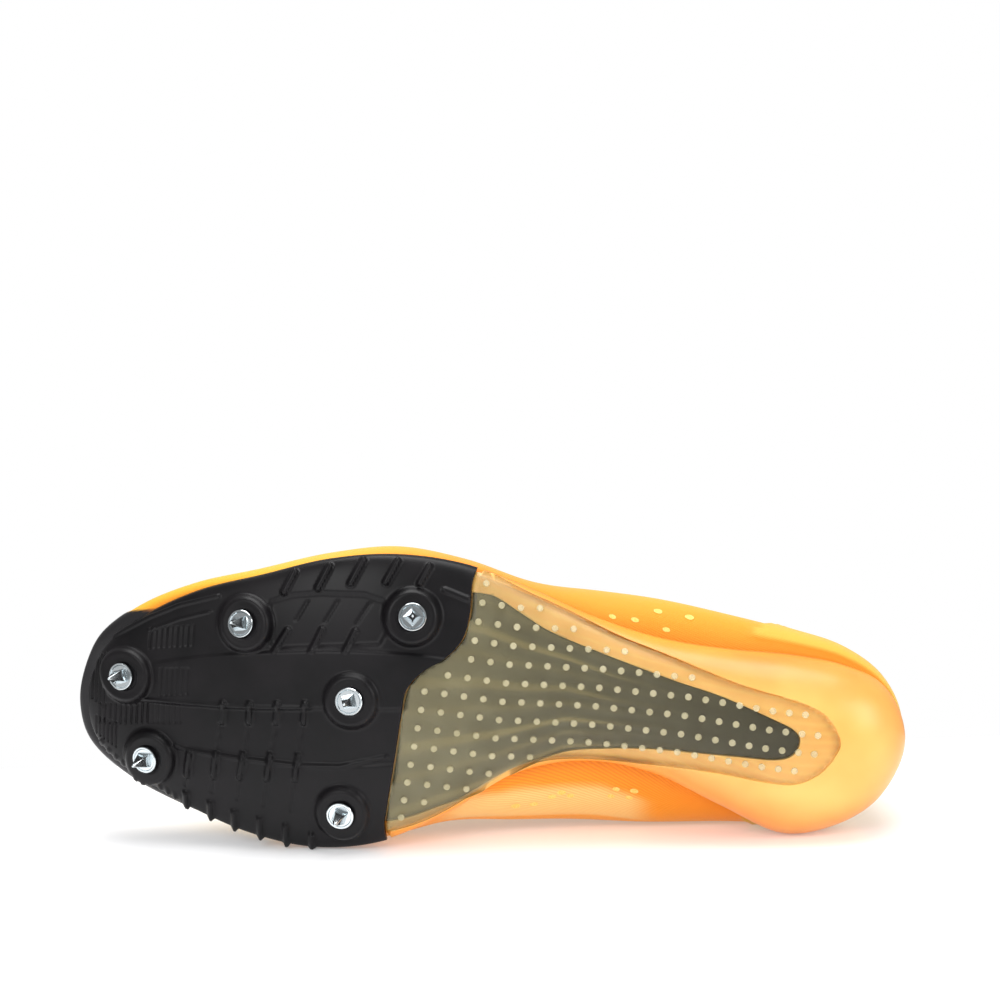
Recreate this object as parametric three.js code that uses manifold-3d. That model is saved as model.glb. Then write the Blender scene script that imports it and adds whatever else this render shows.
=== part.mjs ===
// A left track spike shoe that lies on its inner side with its sole facing -Y.
// Millimetres. Every form is first made in the shoe's own directions:
// x from heel to toe, y towards the little toe, z from the sole to the instep.
import * as THREE from "three";
import { mergeVertices } from "three/addons/utils/BufferGeometryUtils.js";
import { ConvexHull } from "three/addons/math/ConvexHull.js";
import Module from "manifold-3d";

const wasm = await Module();
wasm.setup();

// Overall sizes of the last and the sole
const shoeLength = 287;
const ballWidth = 103;
const toeSpring = 33;
const ballCrown = 5.4; // how far the sole's edge at the ball is above its middle
const heelStack = 22;
const forefootStack = 6;
const heelHeight = 74;
const instepHeight = 80;

// Walls, layers and clearances
const upperWall = 1.6;
const counterThickness = 0.7;
const bandThickness = 0.5;
const plateThickness = 2.6;
const filmThickness = 1.5;
const tailThickness = 1.4;
const insoleThickness = 3;
const fit = 0.3;
const lastingInset = 3.4; // from the sole's outline to the foot of the upper
const footGap = 0.55; // between the foam and the foot of the upper, where the foam's top curves
const bedReach = 4; // how far a bed's cutter passes the sole's skin
const filmInside = -filmThickness - fit;
const tailInside = filmInside - tailThickness;

// Tongue
const tongueThickness = 2.6;
const tongueGap = 1.2;
const tongueBackGap = 2; // at the instep, where the wall turns most
const tongueBow = 2;
const tongueReach = 0.86; // how far down the wall the tongue reaches inside, as a share
const tongueReachBack = 0.97;
const tongueTipReach = 17; // from the throat's start back to the tip, and its rise
const tongueTipRise = 13;
const tongueRise = [
  { back: tongueTipReach, up: tongueTipRise, narrow: 0.72 },
  { back: 0.47 * tongueTipReach, up: 0.5 * tongueTipRise, narrow: 0.92 },
];

// Spikes and their bosses
const bossRadius = 10.4;
const bossHeight = 3.4;
const flangeRadius = 4.7;
const flangeThickness = 1;
const stubRadius = 2.8;
const stubDepth = 4.3;
const pinLength = 7.6;
const pinBaseRadius = 2.9;
const pinTipRadius = 0.6;
const pinSink = 0.6; // how far the pin's foot is sunk in the flange
const flangeDish = 0.35; // the depth of the flange's dish
const seatDepth = 0.5; // how far the flange's seat is sunk in the boss
const flangeSeat = bossHeight - seatDepth;
// The boss's edge, as shares of its radius and height
const bossEdge = [
  { radius: 1, height: 0.1 },
  { radius: 0.92, height: 0.7 },
  { radius: 0.74, height: 1 },
];

// Faces round each turned piece
const bossSides = 18;
const socketSides = 10;
const flangeSides = 16;
const pinSides = 6;
const eyeletSides = 8;

// Lacing
const eyeletRows = 6;
const eyeletRadius = 1.9;
const eyeletInset = 6.5; // from the throat's edge, along the wall
const laceWidth = 5;
const laceThickness = 1.2;
const laceBow = 2.2; // how far a crossing rises between its eyelets
const firstEyelet = 0.4; // from the throat's start, in rows of the table
const lastEyelet = 5.4;

// Floor contact: what the floor takes off the lowest spots, so that each is a small flat
const restFlat = 0.35;

// One row for each section from heel to toe. Columns in x are shares of the shoe's length,
// Out and In are shares of the ball's width towards the little toe and the big toe,
// bottom is a share of the toe spring, stack goes from the forefoot's foam (0) to the heel's (1),
// Up is a share of the way from the sole's rim to the top line.
const columns = [
  "at", "soleOut", "soleIn", "bottom", "stack", "round",
  "wideX", "wideOut", "wideIn", "wideUp",
  "shoulderX", "shoulderOut", "shoulderIn", "shoulderUp",
  "topX", "topOut", "topIn", "topHeel", "topInstep",
];
const sections = [
  [0, 0, 0, 0.18, 0.85, 2.6, 0.005, 0, 0, 0.19, 0.019, 0, 0, 0.67, 0.021, 0, 0, 1, 0],
  [0.01, 0.11, 0.11, 0.15, 0.9, 2.6, 0.012, 0.115, 0.112, 0.19, 0.0245, 0.097, 0.097, 0.67, 0.026, 0.087, 0.087, 0.99, 0],
  [0.035, 0.195, 0.215, 0.105, 0.97, 2.6, 0.035, 0.212, 0.203, 0.21, 0.0435, 0.175, 0.17, 0.68, 0.045, 0.16, 0.16, 0.96, 0],
  [0.08, 0.245, 0.295, 0.045, 1, 2.6, 0.08, 0.289, 0.281, 0.23, 0.085, 0.233, 0.24, 0.7, 0.084, 0.214, 0.214, 0.91, 0],
  [0.139, 0.27, 0.33, 0, 1, 2.6, 0.139, 0.333, 0.317, 0.27, 0.141, 0.277, 0.295, 0.72, 0.139, 0.252, 0.252, 0.86, 0],
  [0.22, 0.28, 0.24, 0.03, 0.81, 2.6, 0.22, 0.379, 0.334, 0.33, 0.22, 0.32, 0.312, 0.74, 0.22, 0.272, 0.272, 0.6, 0.18],
  [0.3, 0.305, 0.145, 0.085, 0.6, 2.7, 0.3, 0.413, 0.345, 0.3, 0.3, 0.345, 0.315, 0.73, 0.3, 0.252, 0.252, 0.25, 0.57],
  [0.38, 0.365, 0.115, 0.14, 0.34, 2.8, 0.38, 0.432, 0.354, 0.27, 0.379, 0.34, 0.3, 0.7, 0.375, 0.19, 0.19, 0, 0.98],
  [0.46, 0.45, 0.165, 0.15, 0.19, 3, 0.46, 0.451, 0.364, 0.26, 0.46, 0.335, 0.3, 0.7, 0.46, 0.16, 0.16, 0, 0.96],
  [0.54, 0.52, 0.31, 0.1, 0.06, 3.4, 0.54, 0.515, 0.373, 0.26, 0.54, 0.375, 0.325, 0.72, 0.54, 0.14, 0.16, 0, 0.89],
  [0.62, 0.54, 0.42, 0.04, 0.03, 3.8, 0.62, 0.548, 0.436, 0.29, 0.62, 0.4, 0.365, 0.73, 0.62, 0.117, 0.155, 0, 0.81],
  [0.7, 0.51, 0.458, 0.11, 0, 4, 0.7, 0.513, 0.46, 0.33, 0.693, 0.38, 0.375, 0.73, 0.675, 0.097, 0.146, 0, 0.75],
  [0.78, 0.44, 0.435, 0.27, 0, 4, 0.78, 0.447, 0.442, 0.33, 0.756, 0.315, 0.33, 0.78, 0.71, 0.063, 0.121, 0, 0.71],
  [0.861, 0.365, 0.37, 0.51, 0, 4, 0.857, 0.369, 0.379, 0.37, 0.805, 0.214, 0.252, 0.82, 0.73, 0.04, 0.097, 0, 0.69],
  [0.93, 0.26, 0.295, 0.73, 0, 4, 0.923, 0.267, 0.296, 0.4, 0.836, 0.12, 0.175, 0.86, 0.742, 0.015, 0.073, 0, 0.685],
  [0.976, 0.15, 0.21, 0.89, 0, 4, 0.965, 0.16, 0.209, 0.42, 0.853, 0.04, 0.105, 0.85, 0.747, -0.007, 0.051, 0, 0.683],
  [0.993, 0.06, 0.145, 0.97, 0, 4, 0.981, 0.068, 0.146, 0.43, 0.859, 0, 0.065, 0.83, 0.749, -0.018, 0.04, 0, 0.682],
  [1, -0.045, 0.045, 1, 0, 4, 0.988, -0.044, 0.044, 0.43, 0.86, -0.03, 0.03, 0.82, 0.75, -0.029, 0.029, 0, 0.68],
].map((row) => Object.fromEntries(row.map((value, k) => [columns[k], value])));

// Steps between two rows, and rings from the spine of the sole to its rim
const stepsPerRow = 1.5;
const throatStart = 7 * stepsPerRow; // the step of the top line where the throat starts, at the instep
const throatSpineEnd = 0.69;
const soleRings = [0, 0.4, 0.7, 0.87, 0.95, 0.985, 1];
const footbedRings = [0.9, 0.5, 0];
const wallShares = [0, 0.13, 0.27, 0.41, 0.56, 0.71];
const liningShares = [1, 0.86, 0.71, 0.56, 0.38, 0.19, 0];
const bandShare = 0.86; // the band round the top line starts here, as a step in the wall
const wideShare = 0.35;
const shoulderShare = 0.7;
const heelSpine = 0.09; // where the sole's spine starts and ends
const toeSpine = 0.915;

// The heel counter from the side: shares of the length and of the heel's height
const counterSide = [
  [-0.1, 0], [0.21, 0], [0.2, 0.3], [0.17, 0.45], [0.135, 0.58], [0.108, 0.72],
  [0.095, 0.86], [0.09, 1.2], [-0.1, 1.2],
];
const counterFoot = 0.12; // where the counter starts on the wall, as a share of its height

// Where the black plate meets the clear film, from the outer edge to the inner one
const jointLine = [
  [0.516, 0.6], [0.521, 0.52], [0.527, 0.456], [0.527, 0.37], [0.533, 0.285], [0.551, 0.22], [0.578, 0.17],
  [0.596, 0.107], [0.601, 0.02], [0.606, -0.12], [0.613, -0.29], [0.615, -0.37], [0.606, -0.5],
];
// The rest of the film's outline, from the outer edge round the heel to the inner edge
const filmLine = [
  [0.57, 0.56], [0.53, 0.51], [0.5, 0.485], [0.463, 0.44], [0.416, 0.39], [0.352, 0.316], [0.289, 0.26],
  [0.209, 0.189], [0.153, 0.154], [0.118, 0.126], [0.098, 0.087], [0.085, 0.023], [0.091, -0.029],
  [0.108, -0.087], [0.136, -0.124], [0.174, -0.121], [0.216, -0.107], [0.261, -0.1], [0.314, -0.1], [0.366, -0.1], [0.418, -0.107],
  [0.463, -0.146], [0.505, -0.223], [0.557, -0.32], [0.6, -0.37], [0.65, -0.4],
];
// The dark tail under the film, from the outer edge round its tip to the inner edge
const tailLine = [
  [0.545, 0.43], [0.51, 0.425], [0.493, 0.41], [0.463, 0.362], [0.427, 0.31], [0.355, 0.243], [0.282, 0.183],
  [0.223, 0.14], [0.164, 0.08], [0.139, 0.049], [0.132, 0.016], [0.139, -0.029], [0.16, -0.049],
  [0.208, -0.047], [0.301, -0.045], [0.36, -0.058], [0.407, -0.08], [0.453, -0.143], [0.498, -0.226],
  [0.551, -0.285], [0.59, -0.33], [0.625, -0.35],
];

// Spikes, by their place on the sole
const spikePlaces = [
  { x: 0.946, y: 0.057 },
  { x: 0.911, y: -0.213 },
  { x: 0.796, y: 0.278 },
  { x: 0.661, y: 0.061 },
  { x: 0.666, y: -0.32 },
  { x: 0.594, y: 0.345 },
];

// Ribs of the tread, as lines of shares. Each has its width and height.
const treadRibs = [
  { line: [[0.926, -0.019], [0.87, -0.012], [0.82, -0.004], [0.765, 0.008], [0.71, 0.023]], width: 1.6, height: 0.9 },
  {
    line: [[0.878, -0.159], [0.859, -0.169], [0.79, -0.172], [0.719, -0.172], [0.671, -0.163], [0.617, -0.121]],
    width: 1.6,
    height: 0.9,
  },
  { line: [[0.743, 0.272], [0.757, 0.203]], width: 2, height: 1.3 },
  { line: [[0.701, 0.285], [0.712, 0.214]], width: 2, height: 1.3 },
  { line: [[0.661, 0.288], [0.671, 0.224]], width: 2, height: 1.3 },
];
// Rows of short ribs, from the toe back. Each rib stands a climb further out than the one before it.
const ribRows = [
  { first: 0.818, pitch: 0.034, lean: 0.001, from: 0.007, to: -0.058, climb: 0.0103, count: 4 },
  { first: 0.859, pitch: 0.0343, lean: 0.003, from: -0.176, to: -0.258, climb: 0.009, count: 5 },
];
const shortRibWidth = 1.8;
const shortRibHeight = 1.6;

// Fins that wrap over the plate's edge, by the row of the table they stand at
const finWidth = 2.4;
const finHeight = 1.5;
const outerFins = [11.25, 10.8, 10.4, 10, 9.6];
const innerFins = [13, 12.65, 12.35, 11.92, 11.57, 11.18];

// A column of the table, read smoothly at a share of the length
function along(column, share) {
  const last = sections.length - 1;
  const x = THREE.MathUtils.clamp(share, 0, 1);
  let k = 0;
  while (k < last - 1 && sections[k + 1].at < x) k += 1;
  const slope = (a, b) => (sections[b][column] - sections[a][column]) / (sections[b].at - sections[a].at);
  const step = sections[k + 1].at - sections[k].at;
  const t = (x - sections[k].at) / step;
  const startSlope = slope(Math.max(k - 1, 0), k + 1);
  const endSlope = slope(k, Math.min(k + 2, last));
  const startValue = sections[k][column];
  const endValue = sections[k + 1][column];
  return (
    (2 * t ** 3 - 3 * t ** 2 + 1) * startValue +
    (t ** 3 - 2 * t ** 2 + t) * step * startSlope +
    (3 * t ** 2 - 2 * t ** 3) * endValue +
    (t ** 3 - t ** 2) * step * endSlope
  );
}

// Heights of the sole at a place on it
function bottomHeight(x, y) {
  return toeSpring * along("bottom", x / shoeLength) + ballCrown * ((2 * y) / ballWidth) ** 2;
}

function stackHeight(x) {
  return THREE.MathUtils.lerp(forefootStack, heelStack, along("stack", x / shoeLength));
}

function footbedHeight(x, y) {
  return bottomHeight(x, y) + stackHeight(x);
}

// A closed line round the shoe: along the outer side to the toe and back along the inner side
const lastRow = sections.length - 1;
const stepsAround = 2 * lastRow * stepsPerRow;

function lineAround(place) {
  const outer = sections.map((row) => place(row, 1));
  const inner = sections.slice(1, lastRow).map((row) => place(row, -1));
  return new THREE.CatmullRomCurve3([...outer, ...inner.reverse()], true, "centripetal");
}

const sideY = (row, name, side) => side * ballWidth * row[name + (side > 0 ? "Out" : "In")];

const soleLine = lineAround((row, side) => {
  return new THREE.Vector3(shoeLength * row.at, sideY(row, "sole", side), 0);
});

function topHeight(row) {
  return heelHeight * row.topHeel + instepHeight * row.topInstep;
}

function wallLine(name) {
  return lineAround((row, side) => {
    const rim = footbedHeight(shoeLength * row.at, sideY(row, "sole", side));
    const up = name === "top" ? 1 : row[name + "Up"];
    const z = THREE.MathUtils.lerp(rim, topHeight(row), up);
    return new THREE.Vector3(shoeLength * row[name + "X"], sideY(row, name, side), z);
  });
}

const wideLine = wallLine("wide");
const shoulderLine = wallLine("shoulder");
const topLine = wallLine("top");

// The sole's spine, which both sides share. It starts and ends inside the round ends.
function spinePoint(step) {
  const place = Math.min(step, stepsAround - step) / stepsPerRow;
  const row = Math.min(Math.floor(place), lastRow - 1);
  const at = THREE.MathUtils.lerp(sections[row].at, sections[row + 1].at, place - row);
  const share = THREE.MathUtils.clamp(at, heelSpine, toeSpine);
  const middle = (along("soleOut", share) - along("soleIn", share)) / 2;
  return new THREE.Vector3(shoeLength * share, ballWidth * middle, 0);
}

// A point of the sole's outer skin, or of a skin that lies out from it by grow. The step goes round
// the shoe and ring goes from the spine, 0, to the rim, 1.
function solePoint(step, ring, grow) {
  const edge = soleLine.getPoint(step / stepsAround);
  const middle = spinePoint(step);
  const reach = new THREE.Vector3().subVectors(edge, middle);
  const place = middle.clone().addScaledVector(reach, ring);
  const fullness = along("round", edge.x / shoeLength);
  const rim = footbedHeight(edge.x, edge.y);
  const low = bottomHeight(place.x, place.y);
  const depth = (1 - ring ** fullness) ** (1 / fullness);
  const outward = ring ** (fullness - 1) / reach.length();
  const downward = depth ** (fullness - 1) / (rim - bottomHeight(middle.x, middle.y));
  const steepness = Math.hypot(outward, downward);
  place.addScaledVector(reach.normalize(), (grow * outward) / steepness);
  place.z = rim - (rim - low) * depth - (grow * downward) / steepness;
  return place;
}

// The skin under the sole at a place given by x and y, and the way out of it
function underSole(x, y) {
  const share = x / shoeLength;
  const middle = (ballWidth * (along("soleOut", share) - along("soleIn", share))) / 2;
  const half = (ballWidth * (along("soleOut", share) + along("soleIn", share))) / 2;
  const ring = Math.min(Math.abs(y - middle) / half, 0.97);
  const fullness = along("round", share);
  const depth = (1 - ring ** fullness) ** (1 / fullness);
  const low = bottomHeight(x, y);
  return new THREE.Vector3(x, y, low + stackHeight(x) * (1 - depth));
}

function outOfSole(x, y) {
  const reach = 2;
  const alongShoe = underSole(x + reach, y).sub(underSole(x - reach, y));
  const acrossShoe = underSole(x, y + reach).sub(underSole(x, y - reach));
  return acrossShoe.cross(alongShoe).normalize();
}

// Meshes and solids
function meshOf(points, faces) {
  const geometry = new THREE.BufferGeometry();
  geometry.setAttribute("position", new THREE.Float32BufferAttribute(points.flatMap((p) => p.toArray()), 3));
  geometry.setIndex(faces.flat());
  return geometry;
}

function solid(geometry) {
  const bare = new THREE.BufferGeometry();
  bare.setAttribute("position", geometry.getAttribute("position"));
  bare.setIndex(geometry.index);
  const merged = mergeVertices(bare, 1e-4);
  const corners = merged.index.array;
  const faces = [];
  for (let k = 0; k < corners.length; k += 3) {
    const [a, b, c] = corners.slice(k, k + 3);
    if (a !== b && b !== c && c !== a) faces.push(a, b, c);
  }
  const place = (k) => new THREE.Vector3().fromBufferAttribute(merged.getAttribute("position"), k);
  let volume = 0;
  for (let k = 0; k < faces.length; k += 3) {
    volume += place(faces[k]).dot(place(faces[k + 1]).cross(place(faces[k + 2])));
  }
  if (volume < 0) faces.reverse();
  const vertProperties = new Float32Array(merged.getAttribute("position").array);
  return new wasm.Manifold(new wasm.Mesh({ numProp: 3, vertProperties, triVerts: new Uint32Array(faces) }));
}

// A closed skin through rings of points. Each ring has as many points, and runs the same way round.
// The ends are closed like a ladder between a ring's first and last points, except a folded last ring.
function loft(rings, joined, folded = false) {
  const around = rings[0].length;
  const faces = [];
  const spans = joined ? rings.length : rings.length - 1;
  for (let r = 0; r < spans; r += 1) {
    for (let k = 0; k < around; k += 1) {
      const a = r * around + k;
      const b = r * around + ((k + 1) % around);
      const c = ((r + 1) % rings.length) * around + k;
      const d = ((r + 1) % rings.length) * around + ((k + 1) % around);
      faces.push([a, b, c], [b, d, c]);
    }
  }
  const end = (rings.length - 1) * around;
  for (let k = 0; k < around / 2 - 1 && !joined; k += 1) {
    const across = around - 1 - k;
    faces.push([k, across, k + 1], [k + 1, across, across - 1]);
    if (!folded) faces.push([end + k, end + k + 1, end + across], [end + k + 1, end + across - 1, end + across]);
  }
  return solid(meshOf(rings.flat(), faces));
}

function turnedSolid(profile, segments, at, direction) {
  const geometry = new THREE.LatheGeometry(profile.map(([r, z]) => new THREE.Vector2(r, z)), segments);
  const turn = new THREE.Quaternion().setFromUnitVectors(new THREE.Vector3(0, 1, 0), direction);
  return solid(geometry.applyQuaternion(turn).translate(at.x, at.y, at.z));
}

// A layer of the sole between two skins, with its rim raised by lift
function soleLayer(inner, outer, lift) {
  const rings = [];
  for (let step = 0; step < stepsAround; step += 1) {
    const under = soleRings.map((ring) => solePoint(step, ring, outer));
    const over = soleRings.map((ring) => solePoint(step, ring, inner)).reverse();
    const rimUnder = under.at(-1).clone().setZ(under.at(-1).z + lift);
    const rimOver = over[0].clone().setZ(over[0].z + lift);
    rings.push([...under, rimUnder, rimOver, ...over]);
  }
  return skinOf(rings);
}

// A loft round the shoe whose rings start and end on the shared spine, so their first and last
// points are not joined to each other
function skinOf(rings) {
  const count = rings[0].length;
  const faces = [];
  for (let step = 0; step < rings.length; step += 1) {
    const next = (step + 1) % rings.length;
    for (let k = 0; k < count - 1; k += 1) {
      const a = step * count + k;
      const b = next * count + k;
      faces.push([a, a + 1, b], [a + 1, b + 1, b]);
    }
  }
  return solid(meshOf(rings.flat(), faces));
}

// The foot of the upper stands clear of the foam, from the sole's outline to the wall's inside
function footPlace(step, inset) {
  const edge = soleLine.getPoint(step / stepsAround);
  return edge.addScaledVector(spinePoint(step).sub(edge).normalize(), inset);
}

function footHeight(step) {
  const under = [0, lastingInset, lastingInset + upperWall].map((inset) => footPlace(step, inset));
  return Math.max(...under.map((place) => footbedHeight(place.x, place.y))) + footGap;
}

// The wall of the upper: share 0 is its foot and 1 is the top line, grow moves it outwards
function wallPoint(turn, share) {
  const step = turn % stepsAround;
  const t = step / stepsAround;
  const foot = footPlace(step, lastingInset).setZ(footHeight(step));
  const knots = [0, wideShare, shoulderShare, 1];
  const points = [foot, wideLine.getPoint(t), shoulderLine.getPoint(t), topLine.getPoint(t)];
  const place = new THREE.Vector3();
  points.forEach((point, k) => {
    const others = knots.filter((_, j) => j !== k);
    const weight = others.reduce((w, knot) => (w * (share - knot)) / (knots[k] - knot), 1);
    place.addScaledVector(point, weight);
  });
  return place;
}

function wallNormal(step, share) {
  const turn = 0.5;
  const rise = 0.02;
  const round = wallPoint(step + turn, share).sub(wallPoint(step + stepsAround - turn, share));
  const up = wallPoint(step, Math.min(share + rise, 1)).sub(wallPoint(step, Math.max(share - rise, 0)));
  return up.cross(round).normalize();
}

const wallSkin = (step, share, grow) => wallPoint(step, share).addScaledVector(wallNormal(step, share), grow);

function wallShell(inner, outer, band) {
  const rings = [];
  for (let step = 0; step < stepsAround; step += 1) {
    const lower = [...wallShares, bandShare - 0.01].map((share) => wallSkin(step, share, outer));
    const upper = [bandShare, 0.93, 1].map((share) => wallSkin(step, share, outer + band));
    const under = liningShares.map((share) => wallSkin(step, share, inner));
    under.at(-1).z = footHeight(step);
    rings.push([...lower, ...upper, ...under]);
  }
  return loft(rings, true);
}

// A step in the wall's skin between two shares of its height, rooted in the middle of the wall
function wallStep(height, lowest, highest) {
  const shares = Array.from({ length: 7 }, (_, k) => THREE.MathUtils.lerp(lowest, highest, k / 6));
  const rings = [];
  for (let step = 0; step < stepsAround; step += 1) {
    const over = shares.map((share) => wallSkin(step, share, height));
    const under = [highest, (highest + lowest) / 2, lowest].map((share) => wallSkin(step, share, -upperWall / 2));
    rings.push([...over, ...under]);
  }
  return loft(rings, true);
}

function upperSolid() {
  const shape = new THREE.Shape(counterSide.map(([x, z]) => new THREE.Vector2(shoeLength * x, heelHeight * z)));
  const across = new THREE.ExtrudeGeometry(shape, { depth: ballWidth, bevelEnabled: false });
  const counterRegion = solid(across.rotateX(Math.PI / 2).translate(0, ballWidth / 2, 0));
  const counter = wallStep(counterThickness, counterFoot, bandShare - 0.03).intersect(counterRegion);
  let body = wallShell(-upperWall, 0, bandThickness).add(counter);
  for (const { step, share } of eyelets) {
    const centre = wallPoint(step, share);
    const reach = 3 * upperWall;
    const profile = [[0, -reach], [eyeletRadius, -reach], [eyeletRadius, reach], [0, reach]];
    body = body.subtract(turnedSolid(profile, eyeletSides, centre, wallNormal(step, share)));
  }
  return body;
}

// Eyelets at even steps along both sides of the throat, the first at the instep
const eyelets = [];
for (let k = 0; k < eyeletRows; k += 1) {
  const row = THREE.MathUtils.lerp(firstEyelet, lastEyelet, k / (eyeletRows - 1));
  const step = throatStart + row * stepsPerRow;
  const wallRun = topLine.getPoint(step / stepsAround).distanceTo(shoulderLine.getPoint(step / stepsAround));
  const share = 1 - ((1 - shoulderShare) * eyeletInset) / wallRun;
  eyelets.push({ step, share }, { step: stepsAround - step, share });
}

// The foam under the whole foot, with the beds of the plate, the tail and the film cut into it
function soleBody() {
  const rings = [];
  for (let step = 0; step < stepsAround; step += 1) {
    const under = soleRings.map((ring) => solePoint(step, ring, 0));
    const over = footbedRings.map((ring) => {
      const place = spinePoint(step).lerp(soleLine.getPoint(step / stepsAround), ring);
      return place.setZ(footbedHeight(place.x, place.y));
    });
    rings.push([...under, ...over]);
  }
  return skinOf(rings);
}

const curveOf = (line) => {
  const places = line.map(([x, y]) => new THREE.Vector2(shoeLength * x, ballWidth * y));
  return new THREE.SplineCurve(places).getPoints(2 * line.length);
};

// A closed outline that runs anticlockwise, moved outwards all round
function grown(outline, by) {
  return outline.map((place, k) => {
    const before = outline.at(k - 1);
    const after = outline[(k + 1) % outline.length];
    const way = after.clone().sub(before).normalize();
    return new THREE.Vector2(place.x + by * way.y, place.y - by * way.x);
  });
}

function uprightBlock(outline) {
  const height = 3 * toeSpring;
  const block = new THREE.ExtrudeGeometry(new THREE.Shape(outline), { depth: height, bevelEnabled: false });
  return solid(block.translate(0, 0, -toeSpring));
}

// Everything in front of the joint between plate and film, moved back by shift
function plateRegion(shift) {
  const front = [[1.2, -0.7], [1.2, 0.7]].map(([x, y]) => new THREE.Vector2(shoeLength * x, ballWidth * y));
  const outline = [...curveOf(jointLine), ...front];
  return uprightBlock(outline.map((place) => place.clone().setX(place.x - shift)));
}

const filmRegion = (by) => uprightBlock(grown(curveOf(filmLine), by));
const tailRegion = (by) => uprightBlock(grown(curveOf(tailLine), by));

function midsoleSolid() {
  const plateBed = soleLayer(-plateThickness - fit, bedReach, bedReach).intersect(plateRegion(fit));
  const filmBed = soleLayer(filmInside, bedReach, 0).intersect(filmRegion(fit));
  const tailBed = soleLayer(tailInside - fit, 0, 0).intersect(tailRegion(fit));
  return soleBody().subtract(plateBed).subtract(filmBed).subtract(tailBed);
}

const filmSolid = () => soleLayer(-filmThickness, 0, 0).intersect(filmRegion(0)).subtract(plateRegion(fit));
const tailSolid = () => soleLayer(tailInside, filmInside, 0).intersect(tailRegion(0)).subtract(plateRegion(2 * fit));

// A raised rib along places on the sole's skin, each with its way out
function rib(places, width, height) {
  const sink = plateThickness / 2;
  const rings = places.map(({ at, out }, k) => {
    const before = places[Math.max(k - 1, 0)].at;
    const after = places[Math.min(k + 1, places.length - 1)].at;
    const side = after.clone().sub(before).cross(out).normalize();
    const corner = (reach, rise) => at.clone().addScaledVector(side, reach).addScaledVector(out, rise);
    return [
      corner(-width / 2, -sink), corner(-width / 3, height),
      corner(width / 3, height), corner(width / 2, -sink),
    ];
  });
  return loft(rings, false);
}

const underPlace = ([x, y]) => {
  const at = underSole(shoeLength * x, ballWidth * y);
  return { at, out: outOfSole(at.x, at.y) };
};

function edgePlace([step, ring]) {
  const at = solePoint(step, ring, 0);
  return { at, out: solePoint(step, ring, 1).sub(at).normalize() };
}

function edgeFin(row, side, slant, start) {
  const places = [start, 0.85, 0.95, 0.995].map((ring) => {
    const step = stepsPerRow * (row + (slant * (1 - ring)) / (1 - start));
    return edgePlace([side > 0 ? step : stepsAround - step, ring]);
  });
  return rib(places, finWidth, finHeight);
}

function spikeFrame({ x, y }) {
  const at = underSole(shoeLength * x, ballWidth * y);
  return { at, out: outOfSole(at.x, at.y) };
}

function plateSolid() {
  let body = soleLayer(-plateThickness, 0, 0).intersect(plateRegion(0));
  for (const { line, width, height } of treadRibs) body = body.add(rib(line.map(underPlace), width, height));
  for (const { first, pitch, lean, from, to, climb, count } of ribRows) {
    for (let k = 0; k < count; k += 1) {
      const x = first - pitch * k;
      const ends = [[x, from + climb * k], [x + lean, to + climb * k]];
      body = body.add(rib(ends.map(underPlace), shortRibWidth, shortRibHeight));
    }
  }
  for (const row of outerFins) body = body.add(edgeFin(row, 1, 0.35, 0.72));
  for (const row of innerFins) body = body.add(edgeFin(row, -1, 0.1, 0.8));
  const root = plateThickness - fit;
  for (const place of spikePlaces) {
    const { at, out } = spikeFrame(place);
    const edge = bossEdge.map(({ radius, height }) => [radius * bossRadius, height * bossHeight]);
    const boss = [[0, -root], [bossRadius, -root], ...edge, [0, bossHeight]];
    const socket = [
      [0, flangeSeat - stubDepth - fit], [stubRadius + fit, flangeSeat - stubDepth - fit],
      [stubRadius + fit, flangeSeat], [flangeRadius + 2 * fit, flangeSeat], [flangeRadius + 2 * fit, 2 * bossHeight], [0, 2 * bossHeight],
    ];
    body = body.add(turnedSolid(boss, bossSides, at, out)).subtract(turnedSolid(socket, socketSides, at, out));
  }
  return body;
}

function spikeSolid(place) {
  const { at, out } = spikeFrame(place);
  const seat = flangeSeat + fit;
  const top = seat + flangeThickness;
  const flange = [
    [0, seat - stubDepth], [stubRadius, seat - stubDepth], [stubRadius, seat], [flangeRadius, seat],
    [flangeRadius, top], [0.86 * flangeRadius, top], [0.8 * flangeRadius, top - flangeDish], [0, top - flangeDish],
  ];
  const pin = new THREE.CylinderGeometry(pinTipRadius, pinBaseRadius, pinLength, pinSides);
  const turn = new THREE.Quaternion().setFromUnitVectors(new THREE.Vector3(0, 1, 0), out);
  const foot = at.clone().addScaledVector(out, top + pinLength / 2 - pinSink);
  const tip = solid(pin.applyQuaternion(turn).translate(foot.x, foot.y, foot.z));
  return turnedSolid(flange, flangeSides, at, out).add(tip);
}

// The loose sock sheet on the foam
function insoleSolid() {
  const rings = [];
  for (let step = 0; step < stepsAround; step += 1) {
    const edge = soleLine.getPoint(step / stepsAround);
    const middle = spinePoint(step);
    const reach = edge.clone().sub(middle);
    const rim = 1 - (lastingInset + upperWall + 5 * fit) / reach.length();
    const over = (rise) => (share) => {
      const place = middle.clone().addScaledVector(reach, rim * share);
      return place.setZ(footbedHeight(place.x, place.y) + rise);
    };
    rings.push([...[0, 0.6, 1].map(over(fit)), ...[1, 0.6, 0].map(over(fit + insoleThickness))]);
  }
  return skinOf(rings);
}

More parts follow.
